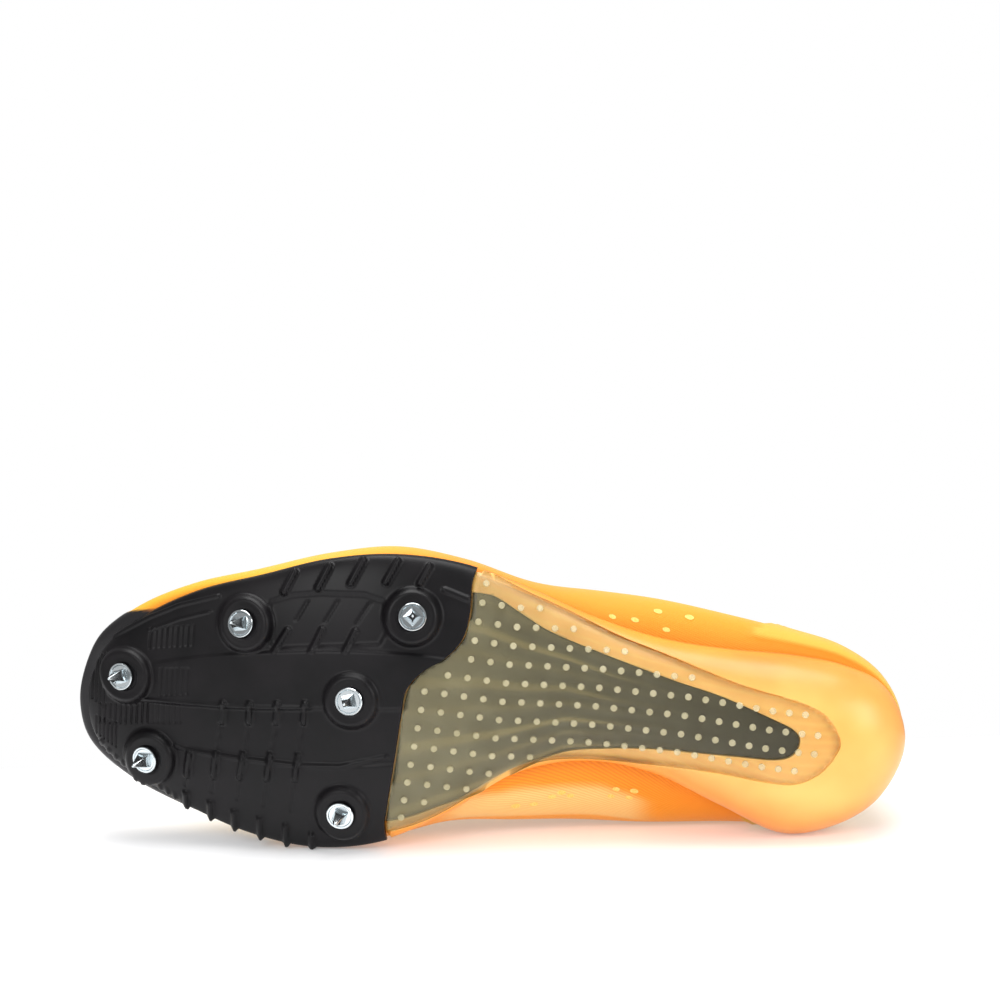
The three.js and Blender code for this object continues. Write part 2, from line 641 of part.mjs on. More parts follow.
// The tongue follows the inside of the wall round the throat and bows up between its edges
function tongueSolid() {
  const rings = [];
  for (let step = throatStart; step <= stepsAround / 2; step += 1) {
    const widening = Math.min((step - throatStart) / (2 * stepsPerRow), 1);
    const depth = upperWall + THREE.MathUtils.lerp(tongueBackGap, tongueGap, widening);
    const lowest = THREE.MathUtils.lerp(tongueReachBack, tongueReach, widening);
    const columnsAcross = [lowest, (1 + lowest) / 2, 1];
    const sides = [step, (stepsAround - step) % stepsAround];
    const edges = sides.map((at) => wallSkin(at, 1, -depth));
    const spineShare = Math.min(sections[Math.floor(step / stepsPerRow)].topX, throatSpineEnd);
    const closeness = THREE.MathUtils.smoothstep(step, throatStart, stepsAround / 2);
    const middle = edges[0].clone().add(edges[1]).multiplyScalar(0.5);
    if (middle.x > shoeLength * throatSpineEnd) middle.x = shoeLength * spineShare;
    middle.z += tongueBow * (1 - closeness);
    const top = [
      ...columnsAcross.map((share) => wallSkin(sides[0], share, -depth)),
      edges[0].clone().lerp(middle, 0.5).setZ(edges[0].z * 0.5 + middle.z * 0.5 + 0.2 * tongueBow),
      middle,
      edges[1].clone().lerp(middle, 0.5).setZ(edges[1].z * 0.5 + middle.z * 0.5 + 0.2 * tongueBow),
      ...[...columnsAcross].reverse().map((share) => wallSkin(sides[1], share, -depth)),
    ];
    const sideSkin = (at, share) => wallSkin(at, share, -depth - tongueThickness);
    const inner = [
      ...columnsAcross.map((share) => sideSkin(sides[1], share)),
      ...[top[5], top[4], top[3]].map((place) => place.clone().setZ(place.z - tongueThickness)),
      ...[...columnsAcross].reverse().map((share) => sideSkin(sides[0], share)),
    ];
    rings.push([...top, ...inner]);
  }
  const first = rings[0];
  const centre = first.reduce((sum, place) => sum.add(place), new THREE.Vector3()).divideScalar(first.length);
  const raised = tongueRise.map(({ back, up, narrow }) => {
    return first.map((place) => {
      const y = centre.y + (place.y - centre.y) * narrow;
      return new THREE.Vector3(place.x - back, y, place.z + up);
    });
  });
  return loft([...raised, ...rings], false, true);
}

// The lace crosses from each eyelet to the next one on the other side, and lies straight at the front
function laceSolid() {
  const rise = bandThickness + fit + laceThickness / 2;
  const end = ({ step, share }) => ({ at: wallSkin(step, share, rise), out: wallNormal(step, share) });
  const edge = (step) => wallSkin(step, 1, rise + fit);
  const strap = (a, b) => {
    const from = end(a);
    const to = end(b);
    const across = stepsAround - b.step;
    const near = edge((a.step * 3 + across) / 4);
    const far = edge(stepsAround - (a.step + across * 3) / 4);
    const middle = near.clone().add(far).multiplyScalar(0.5);
    middle.z += laceBow;
    const crest = new THREE.CatmullRomCurve3([from.at, near, middle, far, to.at]);
    const rings = [0, 0.25, 0.5, 0.75, 1].map((t) => {
      const place = crest.getPoint(t);
      const outward = from.out.clone().lerp(to.out, t).normalize();
      const side = crest.getTangent(t).cross(outward).normalize().multiplyScalar(laceWidth / 2);
      const half = outward.multiplyScalar(laceThickness / 2);
      return [
        place.clone().sub(side).sub(half), place.clone().sub(side).add(half),
        place.clone().add(side).add(half), place.clone().add(side).sub(half),
      ];
    });
    return loft(rings, false);
  };
  let body = strap(eyelets.at(-2), eyelets.at(-1));
  for (let k = 0; k < eyelets.length - 2; k += 2) {
    body = body.add(strap(eyelets[k], eyelets[k + 3])).add(strap(eyelets[k + 1], eyelets[k + 2]));
  }
  return body;
}

const group = new THREE.Group();
const pieces = [];

function add(name, body, colour, roughness, density, metalness = 0) {
  pieces.push({ name, body, colour, roughness, density, metalness });
}

// Densities in g/cm3 place the centre of mass, which settles how the shoe lies
add("upper", upperSolid(), 0xffb02a, 0.75, 0.55);
add("midsole", midsoleSolid(), 0xf2bf6c, 0.6, 0.3);
add("spike_plate", plateSolid(), 0x221f22, 0.45, 1.1);
add("plate_tail", tailSolid(), 0x57503f, 0.5, 1.1);
add("clear_outsole", filmSolid(), 0xc9b98a, 0.3, 1.1);
add("insole", insoleSolid(), 0x3a3a3e, 0.9, 0.2);
add("tongue", tongueSolid(), 0xf6c445, 0.85, 0.35);
add("lace", laceSolid(), 0xf6f0dc, 0.85, 0.8);
spikePlaces.forEach((place, k) => add("spike_" + (k + 1), spikeSolid(place), 0xc9cbd0, 0.25, 7.8, 1));

// Corners and centre of mass of the whole shoe
function cornersOf(body) {
  const { vertProperties, numProp } = body.getMesh();
  const corners = [];
  for (let k = 0; k < vertProperties.length; k += numProp) {
    corners.push(new THREE.Vector3().fromArray(vertProperties, k));
  }
  return corners;
}

function massMoment(body) {
  const { triVerts } = body.getMesh();
  const corners = cornersOf(body);
  const moment = new THREE.Vector3();
  let volume = 0;
  for (let k = 0; k < triVerts.length; k += 3) {
    const [a, b, c] = [corners[triVerts[k]], corners[triVerts[k + 1]], corners[triVerts[k + 2]]];
    const share = a.dot(b.clone().cross(c)) / 6;
    volume += share;
    moment.addScaledVector(a.clone().add(b).add(c), share / 4);
  }
  return { moment, volume };
}

const centreOfMass = new THREE.Vector3();
let weight = 0;
for (const { body, density } of pieces) {
  const { moment, volume } = massMoment(body);
  centreOfMass.addScaledVector(moment, density);
  weight += density * volume;
}
centreOfMass.divideScalar(weight);

// The shoe lies on the face of its hull on the inner side that has the centre of mass above it
function restingFace() {
  const hull = new ConvexHull().setFromPoints(pieces.flatMap(({ body }) => cornersOf(body)));
  const innerSide = new THREE.Vector3(0, -1, 0);
  const holding = hull.faces.filter((face) => {
    if (face.normal.dot(innerSide) < 0.9) return false;
    const places = [face.edge, face.edge.next, face.edge.prev].map((edge) => edge.head().point);
    const foot = centreOfMass.clone().addScaledVector(face.normal, -face.distanceToPoint(centreOfMass));
    const turns = places.map((place, k) => {
      const way = places[(k + 1) % 3].clone().sub(place);
      return way.cross(foot.clone().sub(place)).dot(face.normal);
    });
    return turns.every((turn) => turn >= 0) || turns.every((turn) => turn <= 0);
  });
  return holding[0];
}

const floor = restingFace();
const floorNormal = floor.normal.clone().negate();
const floorPoint = floor.midpoint.clone().addScaledVector(floorNormal, restFlat);

// The floor takes a thin slice off every piece that reaches it, so the shoe rests on small flats
const toFloor = new THREE.Quaternion().setFromUnitVectors(new THREE.Vector3(0, 0, 1), floorNormal);
const underFloor = new THREE.BoxGeometry(2 * shoeLength, 2 * shoeLength, shoeLength).translate(0, 0, -shoeLength / 2);
underFloor.applyQuaternion(toFloor).translate(floorPoint.x, floorPoint.y, floorPoint.z);
const floorBlock = solid(underFloor);

// The part's directions: heel towards +X, sole towards -Y, little toe up
const heelWay = new THREE.Vector3(-1, 0, 0).projectOnPlane(floorNormal).normalize();
const deepWay = floorNormal.clone().cross(heelWay);
const lying = new THREE.Matrix4().makeBasis(heelWay, deepWay, floorNormal).transpose();

for (const { name, body, colour, roughness, metalness } of pieces) {
  const { vertProperties, triVerts, numProp } = body.subtract(floorBlock).getMesh();
  const geometry = new THREE.BufferGeometry();
  geometry.setAttribute("position", new THREE.BufferAttribute(new Float32Array(vertProperties), numProp));
  geometry.setIndex(new THREE.BufferAttribute(triVerts, 1));
  const mesh = new THREE.Mesh(geometry, new THREE.MeshStandardMaterial({ color: colour, roughness, metalness }));
  mesh.name = name;
  group.add(mesh);
}

// The origin is under the middle of the lying shoe, on the floor
group.setRotationFromMatrix(lying);
group.updateMatrixWorld(true);
const room = new THREE.Box3().setFromObject(group, true);
group.position.set(-(room.min.x + room.max.x) / 2, -(room.min.y + room.max.y) / 2, -room.min.z);

export default group;
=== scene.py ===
import math
import random

import bpy
import numpy as np
from mathutils import Matrix, Vector


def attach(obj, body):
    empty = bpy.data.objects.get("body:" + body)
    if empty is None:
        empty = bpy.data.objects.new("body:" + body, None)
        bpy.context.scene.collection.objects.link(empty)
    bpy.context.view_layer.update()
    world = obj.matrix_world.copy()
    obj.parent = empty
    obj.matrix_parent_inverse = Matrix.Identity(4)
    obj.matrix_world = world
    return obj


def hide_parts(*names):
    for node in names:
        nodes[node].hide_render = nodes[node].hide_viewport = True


# A left track spike shoe that lies on its inner side, dressed over its solids.
# Shapes are worked out in the shoe's own directions, in millimetres: x from heel to toe,
# y towards the little toe, z from the sole to the instep. toPart turns them into metres
# in the part's frame.
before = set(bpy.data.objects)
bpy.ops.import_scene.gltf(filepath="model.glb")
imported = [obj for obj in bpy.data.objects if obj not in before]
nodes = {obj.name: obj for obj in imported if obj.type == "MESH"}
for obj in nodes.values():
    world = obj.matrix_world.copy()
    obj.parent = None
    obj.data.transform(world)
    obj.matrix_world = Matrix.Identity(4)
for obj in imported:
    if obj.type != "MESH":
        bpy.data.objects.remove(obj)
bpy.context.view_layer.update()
bpy.ops.object.select_all(action="DESELECT")
random.seed(7)

# Camera: the photograph's angle to the lying shoe
camera = {
    "place": (0.05524, -0.85022, 0.22114),
    "azimuth": 3.24,
    "elevation": 7.08,
    "roll": -1.91,
    "lens": 88.2,
    "sensor": 36,
}


def makeCamera():
    bpy.ops.object.camera_add(location=camera["place"])
    eye = bpy.context.object
    eye.name = "camera"
    turn = Matrix.Rotation(math.radians(camera["azimuth"]), 4, "Z")
    tip = Matrix.Rotation(math.radians(90 - camera["elevation"]), 4, "X")
    roll = Matrix.Rotation(math.radians(camera["roll"]), 4, "Z")
    eye.matrix_world = Matrix.Translation(camera["place"]) @ turn @ tip @ roll
    eye.data.lens = camera["lens"]
    eye.data.sensor_width = camera["sensor"]
    eye.data.clip_start = 0.01
    bpy.context.scene.camera = eye


makeCamera()
print("camera placed")

# The shoe's sizes, as in its solids
shoe = {
    "length": 287,
    "ballWidth": 103,
    "toeSpring": 33,
    "ballCrown": 5.4,
    "heelStack": 22,
    "forefootStack": 6,
    "heelHeight": 74,
    "instepHeight": 80,
    "wall": 1.6,
    "band": 0.5,
    "counter": 0.7,
    "plate": 2.6,
    "film": 1.5,
    "tail": 1.4,
    "insole": 3,
    "fit": 0.3,
    "lastingInset": 3.4,
    "footGap": 0.55,
}

# One row for each section from heel to toe. Columns in x are shares of the length, Out and In are
# shares of the ball's width, bottom is a share of the toe spring, stack goes from the forefoot's foam
# to the heel's, and Up is a share of the way from the sole's rim to the top line.
columns = [
    "at", "soleOut", "soleIn", "bottom", "stack", "round",
    "wideX", "wideOut", "wideIn", "wideUp",
    "shoulderX", "shoulderOut", "shoulderIn", "shoulderUp",
    "topX", "topOut", "topIn", "topHeel", "topInstep",
]
sections = [
    [0, 0, 0, 0.18, 0.85, 2.6, 0.005, 0, 0, 0.19, 0.019, 0, 0, 0.67, 0.021, 0, 0, 1, 0],
    [0.01, 0.11, 0.11, 0.15, 0.9, 2.6, 0.012, 0.115, 0.112, 0.19,
     0.0245, 0.097, 0.097, 0.67, 0.026, 0.087, 0.087, 0.99, 0],
    [0.035, 0.195, 0.215, 0.105, 0.97, 2.6, 0.035, 0.212, 0.203, 0.21,
     0.0435, 0.175, 0.17, 0.68, 0.045, 0.16, 0.16, 0.96, 0],
    [0.08, 0.245, 0.295, 0.045, 1, 2.6, 0.08, 0.289, 0.281, 0.23,
     0.085, 0.233, 0.24, 0.7, 0.084, 0.214, 0.214, 0.91, 0],
    [0.139, 0.27, 0.33, 0, 1, 2.6, 0.139, 0.333, 0.317, 0.27,
     0.141, 0.277, 0.295, 0.72, 0.139, 0.252, 0.252, 0.86, 0],
    [0.22, 0.28, 0.24, 0.03, 0.81, 2.6, 0.22, 0.379, 0.334, 0.33,
     0.22, 0.32, 0.312, 0.74, 0.22, 0.272, 0.272, 0.6, 0.18],
    [0.3, 0.305, 0.145, 0.085, 0.6, 2.7, 0.3, 0.413, 0.345, 0.3,
     0.3, 0.345, 0.315, 0.73, 0.3, 0.252, 0.252, 0.25, 0.57],
    [0.38, 0.365, 0.115, 0.14, 0.34, 2.8, 0.38, 0.432, 0.354, 0.27,
     0.379, 0.34, 0.3, 0.7, 0.375, 0.19, 0.19, 0, 0.98],
    [0.46, 0.45, 0.165, 0.15, 0.19, 3, 0.46, 0.451, 0.364, 0.26,
     0.46, 0.335, 0.3, 0.7, 0.46, 0.16, 0.16, 0, 0.96],
    [0.54, 0.52, 0.31, 0.1, 0.06, 3.4, 0.54, 0.515, 0.373, 0.26,
     0.54, 0.375, 0.325, 0.72, 0.54, 0.14, 0.16, 0, 0.89],
    [0.62, 0.54, 0.42, 0.04, 0.03, 3.8, 0.62, 0.548, 0.436, 0.29,
     0.62, 0.4, 0.365, 0.73, 0.62, 0.117, 0.155, 0, 0.81],
    [0.7, 0.51, 0.458, 0.11, 0, 4, 0.7, 0.513, 0.46, 0.33,
     0.693, 0.38, 0.375, 0.73, 0.675, 0.097, 0.146, 0, 0.75],
    [0.78, 0.44, 0.435, 0.27, 0, 4, 0.78, 0.447, 0.442, 0.33,
     0.756, 0.315, 0.33, 0.78, 0.71, 0.063, 0.121, 0, 0.71],
    [0.861, 0.365, 0.37, 0.51, 0, 4, 0.857, 0.369, 0.379, 0.37,
     0.805, 0.214, 0.252, 0.82, 0.73, 0.04, 0.097, 0, 0.69],
    [0.93, 0.26, 0.295, 0.73, 0, 4, 0.923, 0.267, 0.296, 0.4,
     0.836, 0.12, 0.175, 0.86, 0.742, 0.015, 0.073, 0, 0.685],
    [0.976, 0.15, 0.21, 0.89, 0, 4, 0.965, 0.16, 0.209, 0.42,
     0.853, 0.04, 0.105, 0.85, 0.747, -0.007, 0.051, 0, 0.683],
    [0.993, 0.06, 0.145, 0.97, 0, 4, 0.981, 0.068, 0.146, 0.43,
     0.859, 0, 0.065, 0.83, 0.749, -0.018, 0.04, 0, 0.682],
    [1, -0.045, 0.045, 1, 0, 4, 0.988, -0.044, 0.044, 0.43,
     0.86, -0.03, 0.03, 0.82, 0.75, -0.029, 0.029, 0, 0.68],
]
table = {name: np.array([row[k] for row in sections], float) for k, name in enumerate(columns)}
rowAt = table["at"]
lastRow = len(sections) - 1
heelSpine, toeSpine = 0.09, 0.915
wideShare, shoulderShare = 0.35, 0.7
# Steps once round the wall: one and a half for each place of the sole's line
wallSteps = 51


def along(column, share):
    # A column of the table, read smoothly at shares of the length
    values = table[column]
    x = np.clip(share, 0, 1)
    k = np.clip(np.searchsorted(rowAt[1:], x), 0, lastRow - 1)

    def slope(a, b):
        return (values[b] - values[a]) / (rowAt[b] - rowAt[a])

    step = rowAt[k + 1] - rowAt[k]
    t = (x - rowAt[k]) / step
    startSlope = slope(np.maximum(k - 1, 0), k + 1)
    endSlope = slope(k, np.minimum(k + 2, lastRow))
    return (
        (2 * t**3 - 3 * t**2 + 1) * values[k]
        + (t**3 - 2 * t**2 + t) * step * startSlope
        + (3 * t**2 - 2 * t**3) * values[k + 1]
        + (t**3 - t**2) * step * endSlope
    )


def bottomHeight(x, y):
    crown = shoe["ballCrown"] * (2 * y / shoe["ballWidth"]) ** 2
    return shoe["toeSpring"] * along("bottom", x / shoe["length"]) + crown


def stackHeight(x):
    thick = shoe["heelStack"] - shoe["forefootStack"]
    return shoe["forefootStack"] + thick * along("stack", x / shoe["length"])


def footbedHeight(x, y):
    return bottomHeight(x, y) + stackHeight(x)


def closedCurve(points):
    # A smooth closed curve through the points, read at turns from 0 to 1
    points = np.array(points, float)
    count = len(points)
    spans = np.sqrt(np.linalg.norm(np.roll(points, -1, axis=0) - points, axis=1))

    def at(turn):
        place = (np.asarray(turn, float) % 1) * count
        k = np.floor(place).astype(int) % count
        w = (place - np.floor(place))[..., None]
        p0, p1, p2, p3 = (points[(k + n) % count] for n in (-1, 0, 1, 2))
        d0, d1, d2 = (spans[(k + n) % count][..., None] for n in (-1, 0, 1))
        start = ((p1 - p0) / d0 - (p2 - p0) / (d0 + d1) + (p2 - p1) / d1) * d1
        end = ((p2 - p1) / d1 - (p3 - p1) / (d1 + d2) + (p3 - p2) / d2) * d1
        bend = -3 * p1 + 3 * p2 - 2 * start - end
        return p1 + start * w + bend * w**2 + (2 * p1 - 2 * p2 + start + end) * w**3

    return at


def lineAround(place):
    # Along the outer side to the toe and back along the inner side
    outer = [place(k, 1) for k in range(lastRow + 1)]
    inner = [place(k, -1) for k in range(lastRow - 1, 0, -1)]
    return closedCurve(outer + inner)


def sideY(k, name, side):
    return side * shoe["ballWidth"] * table[name + ("Out" if side > 0 else "In")][k]


soleLine = lineAround(lambda k, side: (shoe["length"] * rowAt[k], sideY(k, "sole", side), 0))


def wallLine(name):
    def place(k, side):
        rim = footbedHeight(shoe["length"] * rowAt[k], sideY(k, "sole", side))
        up = 1 if name == "top" else table[name + "Up"][k]
        top = shoe["heelHeight"] * table["topHeel"][k] + shoe["instepHeight"] * table["topInstep"][k]
        return (shoe["length"] * table[name + "X"][k], sideY(k, name, side), rim + (top - rim) * up)

    return lineAround(place)


wideLine, shoulderLine, topLine = wallLine("wide"), wallLine("shoulder"), wallLine("top")


def spinePoint(turn):
    # The line under the middle of the sole that both sides share
    turn = np.asarray(turn, float) % 1
    place = np.minimum(turn, 1 - turn) * 2 * lastRow
    share = np.clip(np.interp(place, np.arange(lastRow + 1), rowAt), heelSpine, toeSpine)
    middle = (along("soleOut", share) - along("soleIn", share)) / 2
    return np.stack([shoe["length"] * share, shoe["ballWidth"] * middle, 0 * share], axis=-1)


def solePoint(turn, ring, grow=0.0):
    # The skin under the sole: ring goes from the spine, 0, to the rim, 1, and grow lies out from it
    turn, ring, grow = np.broadcast_arrays(turn, ring, grow)
    edge, middle = soleLine(turn), spinePoint(turn)
    reach = edge - middle
    length = np.linalg.norm(reach, axis=-1)
    place = middle + reach * ring[..., None]
    full = along("round", edge[..., 0] / shoe["length"])
    rim = footbedHeight(edge[..., 0], edge[..., 1])
    low = bottomHeight(place[..., 0], place[..., 1])
    depth = np.clip(1 - ring**full, 0, 1) ** (1 / full)
    outward = ring ** (full - 1) / length
    downward = depth ** (full - 1) / (rim - bottomHeight(middle[..., 0], middle[..., 1]))
    steepness = np.hypot(outward, downward)
    place = place + reach * (grow * outward / steepness / length)[..., None]
    place[..., 2] = rim - (rim - low) * depth - grow * downward / steepness
    return place


def underSole(x, y):
    # The skin under the sole at a place given by x and y
    share = x / shoe["length"]
    middle = shoe["ballWidth"] * (along("soleOut", share) - along("soleIn", share)) / 2
    half = shoe["ballWidth"] * (along("soleOut", share) + along("soleIn", share)) / 2
    ring = np.minimum(np.abs(y - middle) / half, 0.97)
    full = along("round", share)
    depth = (1 - ring**full) ** (1 / full)
    return np.array([x, y, bottomHeight(x, y) + stackHeight(x) * (1 - depth)])


def outOfSole(x, y):
    reach = 2
    forward = underSole(x + reach, y) - underSole(x - reach, y)
    across = underSole(x, y + reach) - underSole(x, y - reach)
    way = np.cross(across, forward)
    return way / np.linalg.norm(way)


def footPlace(turn, inset):
    edge, middle = soleLine(turn), spinePoint(turn)
    reach = middle - edge
    return edge + reach * (inset / np.linalg.norm(reach, axis=-1))[..., None]


def footHeight(turn):
    insets = (0, shoe["lastingInset"], shoe["lastingInset"] + shoe["wall"])
    under = [footPlace(turn, inset) for inset in insets]
    return np.max([footbedHeight(p[..., 0], p[..., 1]) for p in under], axis=0) + shoe["footGap"]


def wallPoint(turn, share):
    # The wall of the upper: share 0 is its foot and 1 is the top line
    turn, share = np.broadcast_arrays(np.asarray(turn, float) % 1, share)
    foot = footPlace(turn, shoe["lastingInset"])
    foot[..., 2] = footHeight(turn)
    knots = (0, wideShare, shoulderShare, 1)
    lines = (foot, wideLine(turn), shoulderLine(turn), topLine(turn))
    place = np.zeros(foot.shape)
    for knot, line in zip(knots, lines):
        weight = np.ones(share.shape)
        for other in knots:
            if other != knot:
                weight = weight * (share - other) / (knot - other)
        place += line * weight[..., None]
    return place


def wallNormal(turn, share):
    step, rise = 0.5 / wallSteps, 0.02
    forward = wallPoint(turn + step, share) - wallPoint(turn - step, share)
    up = wallPoint(turn, np.minimum(share + rise, 1)) - wallPoint(turn, np.maximum(share - rise, 0))
    way = np.cross(up, forward)
    return way / np.linalg.norm(way, axis=-1)[..., None]


def wallSkin(turn, share, grow):
    turn, share, grow = np.broadcast_arrays(np.asarray(turn, float), share, grow)
    return wallPoint(turn, share) + wallNormal(turn, share) * grow[..., None]


def smooth(low, high, value):
    t = np.clip((np.asarray(value, float) - low) / (high - low), 0, 1)
    return t * t * (3 - 2 * t)


# Spikes stand at these places on the sole, and their tips at this height over its skin
spikePlaces = [(0.946, 0.057), (0.911, -0.213), (0.796, 0.278), (0.661, 0.061), (0.666, -0.32),
               (0.594, 0.345)]
tipHeight = 11.2


def inShoe(place):
    return shoe["length"] * place[0], shoe["ballWidth"] * place[1]


def spikeTip(name):
    # The middle of the pin's end, which is farthest from the middle of the node
    points = np.array([v.co for v in nodes[name].data.vertices], float)
    tip = points[np.argmax(np.linalg.norm(points - points.mean(0), axis=1))]
    near = points[np.linalg.norm(points - tip, axis=1) < 0.0015]
    near = np.unique(near.round(6), axis=0)
    return near.mean(0)


def findFrame():
    # The turn and place that take the shoe's own directions to the lying part, from the six spike tips
    tips = np.array([spikeTip("spike_" + str(k + 1)) for k in range(len(spikePlaces))]) * 1000
    own = np.array([underSole(*inShoe(p)) + tipHeight * outOfSole(*inShoe(p)) for p in spikePlaces])
    left, _, right = np.linalg.svd((own - own.mean(0)).T @ (tips - tips.mean(0)))
    flip = np.diag([1, 1, np.sign(np.linalg.det(right.T @ left.T))])
    turn = right.T @ flip @ left.T
    place = tips.mean(0) - turn @ own.mean(0)
    error = np.abs(own @ turn.T + place - tips).max()
    print("frame found, worst tip off by", round(float(error), 3), "mm")
    return turn, place


partTurn, partPlace = findFrame()


def toPart(points):
    return (np.asarray(points, float) @ partTurn.T + partPlace) / 1000


def toWay(way):
    return Vector(partTurn @ np.asarray(way, float)).normalized()


# Making and finishing pieces
def gridPiece(name, stepsAround, stepsAcross, place, tones=None, wraps=(1, 1)):
    # A grid whose corners are put in place, with its own map in millimetres and tones as attributes
    bpy.ops.mesh.primitive_grid_add(x_subdivisions=stepsAround, y_subdivisions=stepsAcross, size=1)
    piece = bpy.context.object
    piece.name = name
    mesh = piece.data
    flat = np.empty(len(mesh.vertices) * 3)
    mesh.vertices.foreach_get("co", flat)
    across = flat.reshape(-1, 3)
    u = np.round((across[:, 0] + 0.5) * stepsAround) / stepsAround
    v = np.round((across[:, 1] + 0.5) * stepsAcross) / stepsAcross
    placed = toPart(place(u, v))
    # What rests on the floor is pressed flat there
    placed[:, 2] = np.maximum(placed[:, 2], 0)
    mesh.vertices.foreach_set("co", placed.ravel())
    for tone, value in (tones(u, v) if tones else {}).items():
        layer = mesh.attributes.new(tone, "FLOAT", "POINT")
        layer.data.foreach_set("value", np.broadcast_to(value, u.shape).astype(np.float32))
    corners = np.empty(len(mesh.loops), int)
    mesh.loops.foreach_get("vertex_index", corners)
    own = np.stack([u[corners] * wraps[0], v[corners] * wraps[1]], axis=1)
    mesh.uv_layers.active.data.foreach_set("uv", own.astype(np.float32).ravel())
    tidy(piece)
    return piece


def tidy(piece, merge=2e-6):
    bpy.context.view_layer.objects.active = piece
    bpy.ops.object.select_all(action="DESELECT")
    piece.select_set(True)
    bpy.ops.object.mode_set(mode="EDIT")
    bpy.ops.mesh.select_all(action="SELECT")
    bpy.ops.mesh.remove_doubles(threshold=merge)
    bpy.ops.mesh.dissolve_degenerate(threshold=merge)
    bpy.ops.mesh.normals_make_consistent(inside=False)
    bpy.ops.object.mode_set(mode="OBJECT")
    bpy.ops.object.shade_smooth()


def finishModifier(piece, kind, **settings):
    bpy.context.view_layer.objects.active = piece
    modifier = piece.modifiers.new(kind.lower(), kind)
    for name, value in settings.items():
        setattr(modifier, name, value)
    bpy.ops.object.modifier_apply(modifier=modifier.name)


def joined(name, parts):
    bpy.ops.object.select_all(action="DESELECT")
    for part in parts:
        part.select_set(True)
    bpy.context.view_layer.objects.active = parts[0]
    bpy.ops.object.join()
    piece = bpy.context.object
    piece.name = name
    return piece


def splineThrough(line, steps=6):
    # A smooth open line through places given as shares, in millimetres on the sole
    points = np.array(line, float) * (shoe["length"], shoe["ballWidth"])
    padded = np.vstack([points[:1], points, points[-1:]])
    line = []
    for k in range(len(points) - 1):
        p0, p1, p2, p3 = padded[k:k + 4]
        for t in np.arange(steps) / steps:
            a, b = (p2 - p0) / 2, (p3 - p1) / 2
            bend = -3 * p1 + 3 * p2 - 2 * a - b
            line.append(p1 + a * t + bend * t**2 + (2 * p1 - 2 * p2 + a + b) * t**3)
    return np.array(line + [points[-1]])


def lineDistance(x, y, line):
    # How far places on the sole are from a line of points
    near = np.full(x.shape, np.inf)
    for a, b in zip(line[:-1], line[1:]):
        way = b - a
        t = np.clip(((x - a[0]) * way[0] + (y - a[1]) * way[1]) / (way @ way), 0, 1)
        near = np.minimum(near, np.hypot(x - a[0] - t * way[0], y - a[1] - t * way[1]))
    return near


def insideLine(x, y, outline):
    # Whether places on the sole lie inside a closed outline
    inside = np.zeros(x.shape, bool)
    for a, b in zip(outline, np.roll(outline, -1, axis=0)):
        if a[1] != b[1]:
            crosses = (y < a[1]) != (y < b[1])
            inside ^= crosses & (x < a[0] + (b[0] - a[0]) * (y - a[1]) / (b[1] - a[1]))
    return inside


def depthInside(x, y, outline):
    # Distance to a closed outline, positive inside it
    near = lineDistance(x, y, np.vstack([outline, outline[:1]]))
    return np.where(insideLine(x, y, outline), near, -near)


def prism(name, outline, low=-40, high=70):
    # An upright block over an outline on the sole, to cut with
    bpy.ops.mesh.primitive_circle_add(vertices=len(outline), radius=1, fill_type="NGON")
    block = bpy.context.object
    block.name = name
    base = np.column_stack([outline, np.full(len(outline), low)])
    block.data.vertices.foreach_set("co", toPart(base).ravel())
    rise = toPart([0, 0, high]) - toPart([0, 0, low])
    bpy.ops.object.mode_set(mode="EDIT")
    bpy.ops.mesh.select_all(action="SELECT")
    bpy.ops.mesh.extrude_region_move(TRANSFORM_OT_translate={"value": tuple(rise)})
    bpy.ops.mesh.select_all(action="SELECT")
    bpy.ops.mesh.normals_make_consistent(inside=False)
    bpy.ops.object.mode_set(mode="OBJECT")
    return block


def cutWith(piece, block, how):
    finishModifier(piece, "BOOLEAN", object=block, operation=how, solver="EXACT")
    bpy.data.objects.remove(block)


def rides(piece, slot, *replaced):
    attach(piece, "root")
    if replaced:
        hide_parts(*replaced)


# Materials
def colour(code):
    # An sRGB hex value as linear light
    parts = [int(code[k:k + 2], 16) / 255 for k in (1, 3, 5)]
    return [c / 12.92 if c <= 0.04045 else ((c + 0.055) / 1.055) ** 2.4 for c in parts] + [1]


def addNode(tree, kind, inputs=None, stops=(), **settings):
    # One node with its settings, the values or links of its sockets, and the colours of a ramp
    made = tree.nodes.new("ShaderNode" + kind)
    for name, value in settings.items():
        setattr(made, name, value)
    for name, value in (inputs or {}).items():
        socket = made.inputs[name]
        if isinstance(value, bpy.types.NodeSocket):
            tree.links.new(value, socket)
        else:
            socket.default_value = value
    while stops and len(made.color_ramp.elements) < len(stops):
        made.color_ramp.elements.new(0.5)
    for k, (place, code) in enumerate(stops):
        made.color_ramp.elements[k].position = place
        made.color_ramp.elements[k].color = colour(code)
    return made


def newMaterial(name, **settings):
    # A material with values of its shader, such as Coat_Weight for Coat Weight
    made = bpy.data.materials.new(name)
    made.use_nodes = True
    tree = made.node_tree
    shader = tree.nodes["Principled BSDF"]
    for key, value in settings.items():
        shader.inputs[key.replace("_", " ")].default_value = value
    return made, tree, shader


def feed(tree, shader, links):
    for socket, output in links.items():
        tree.links.new(output, shader.inputs[socket])


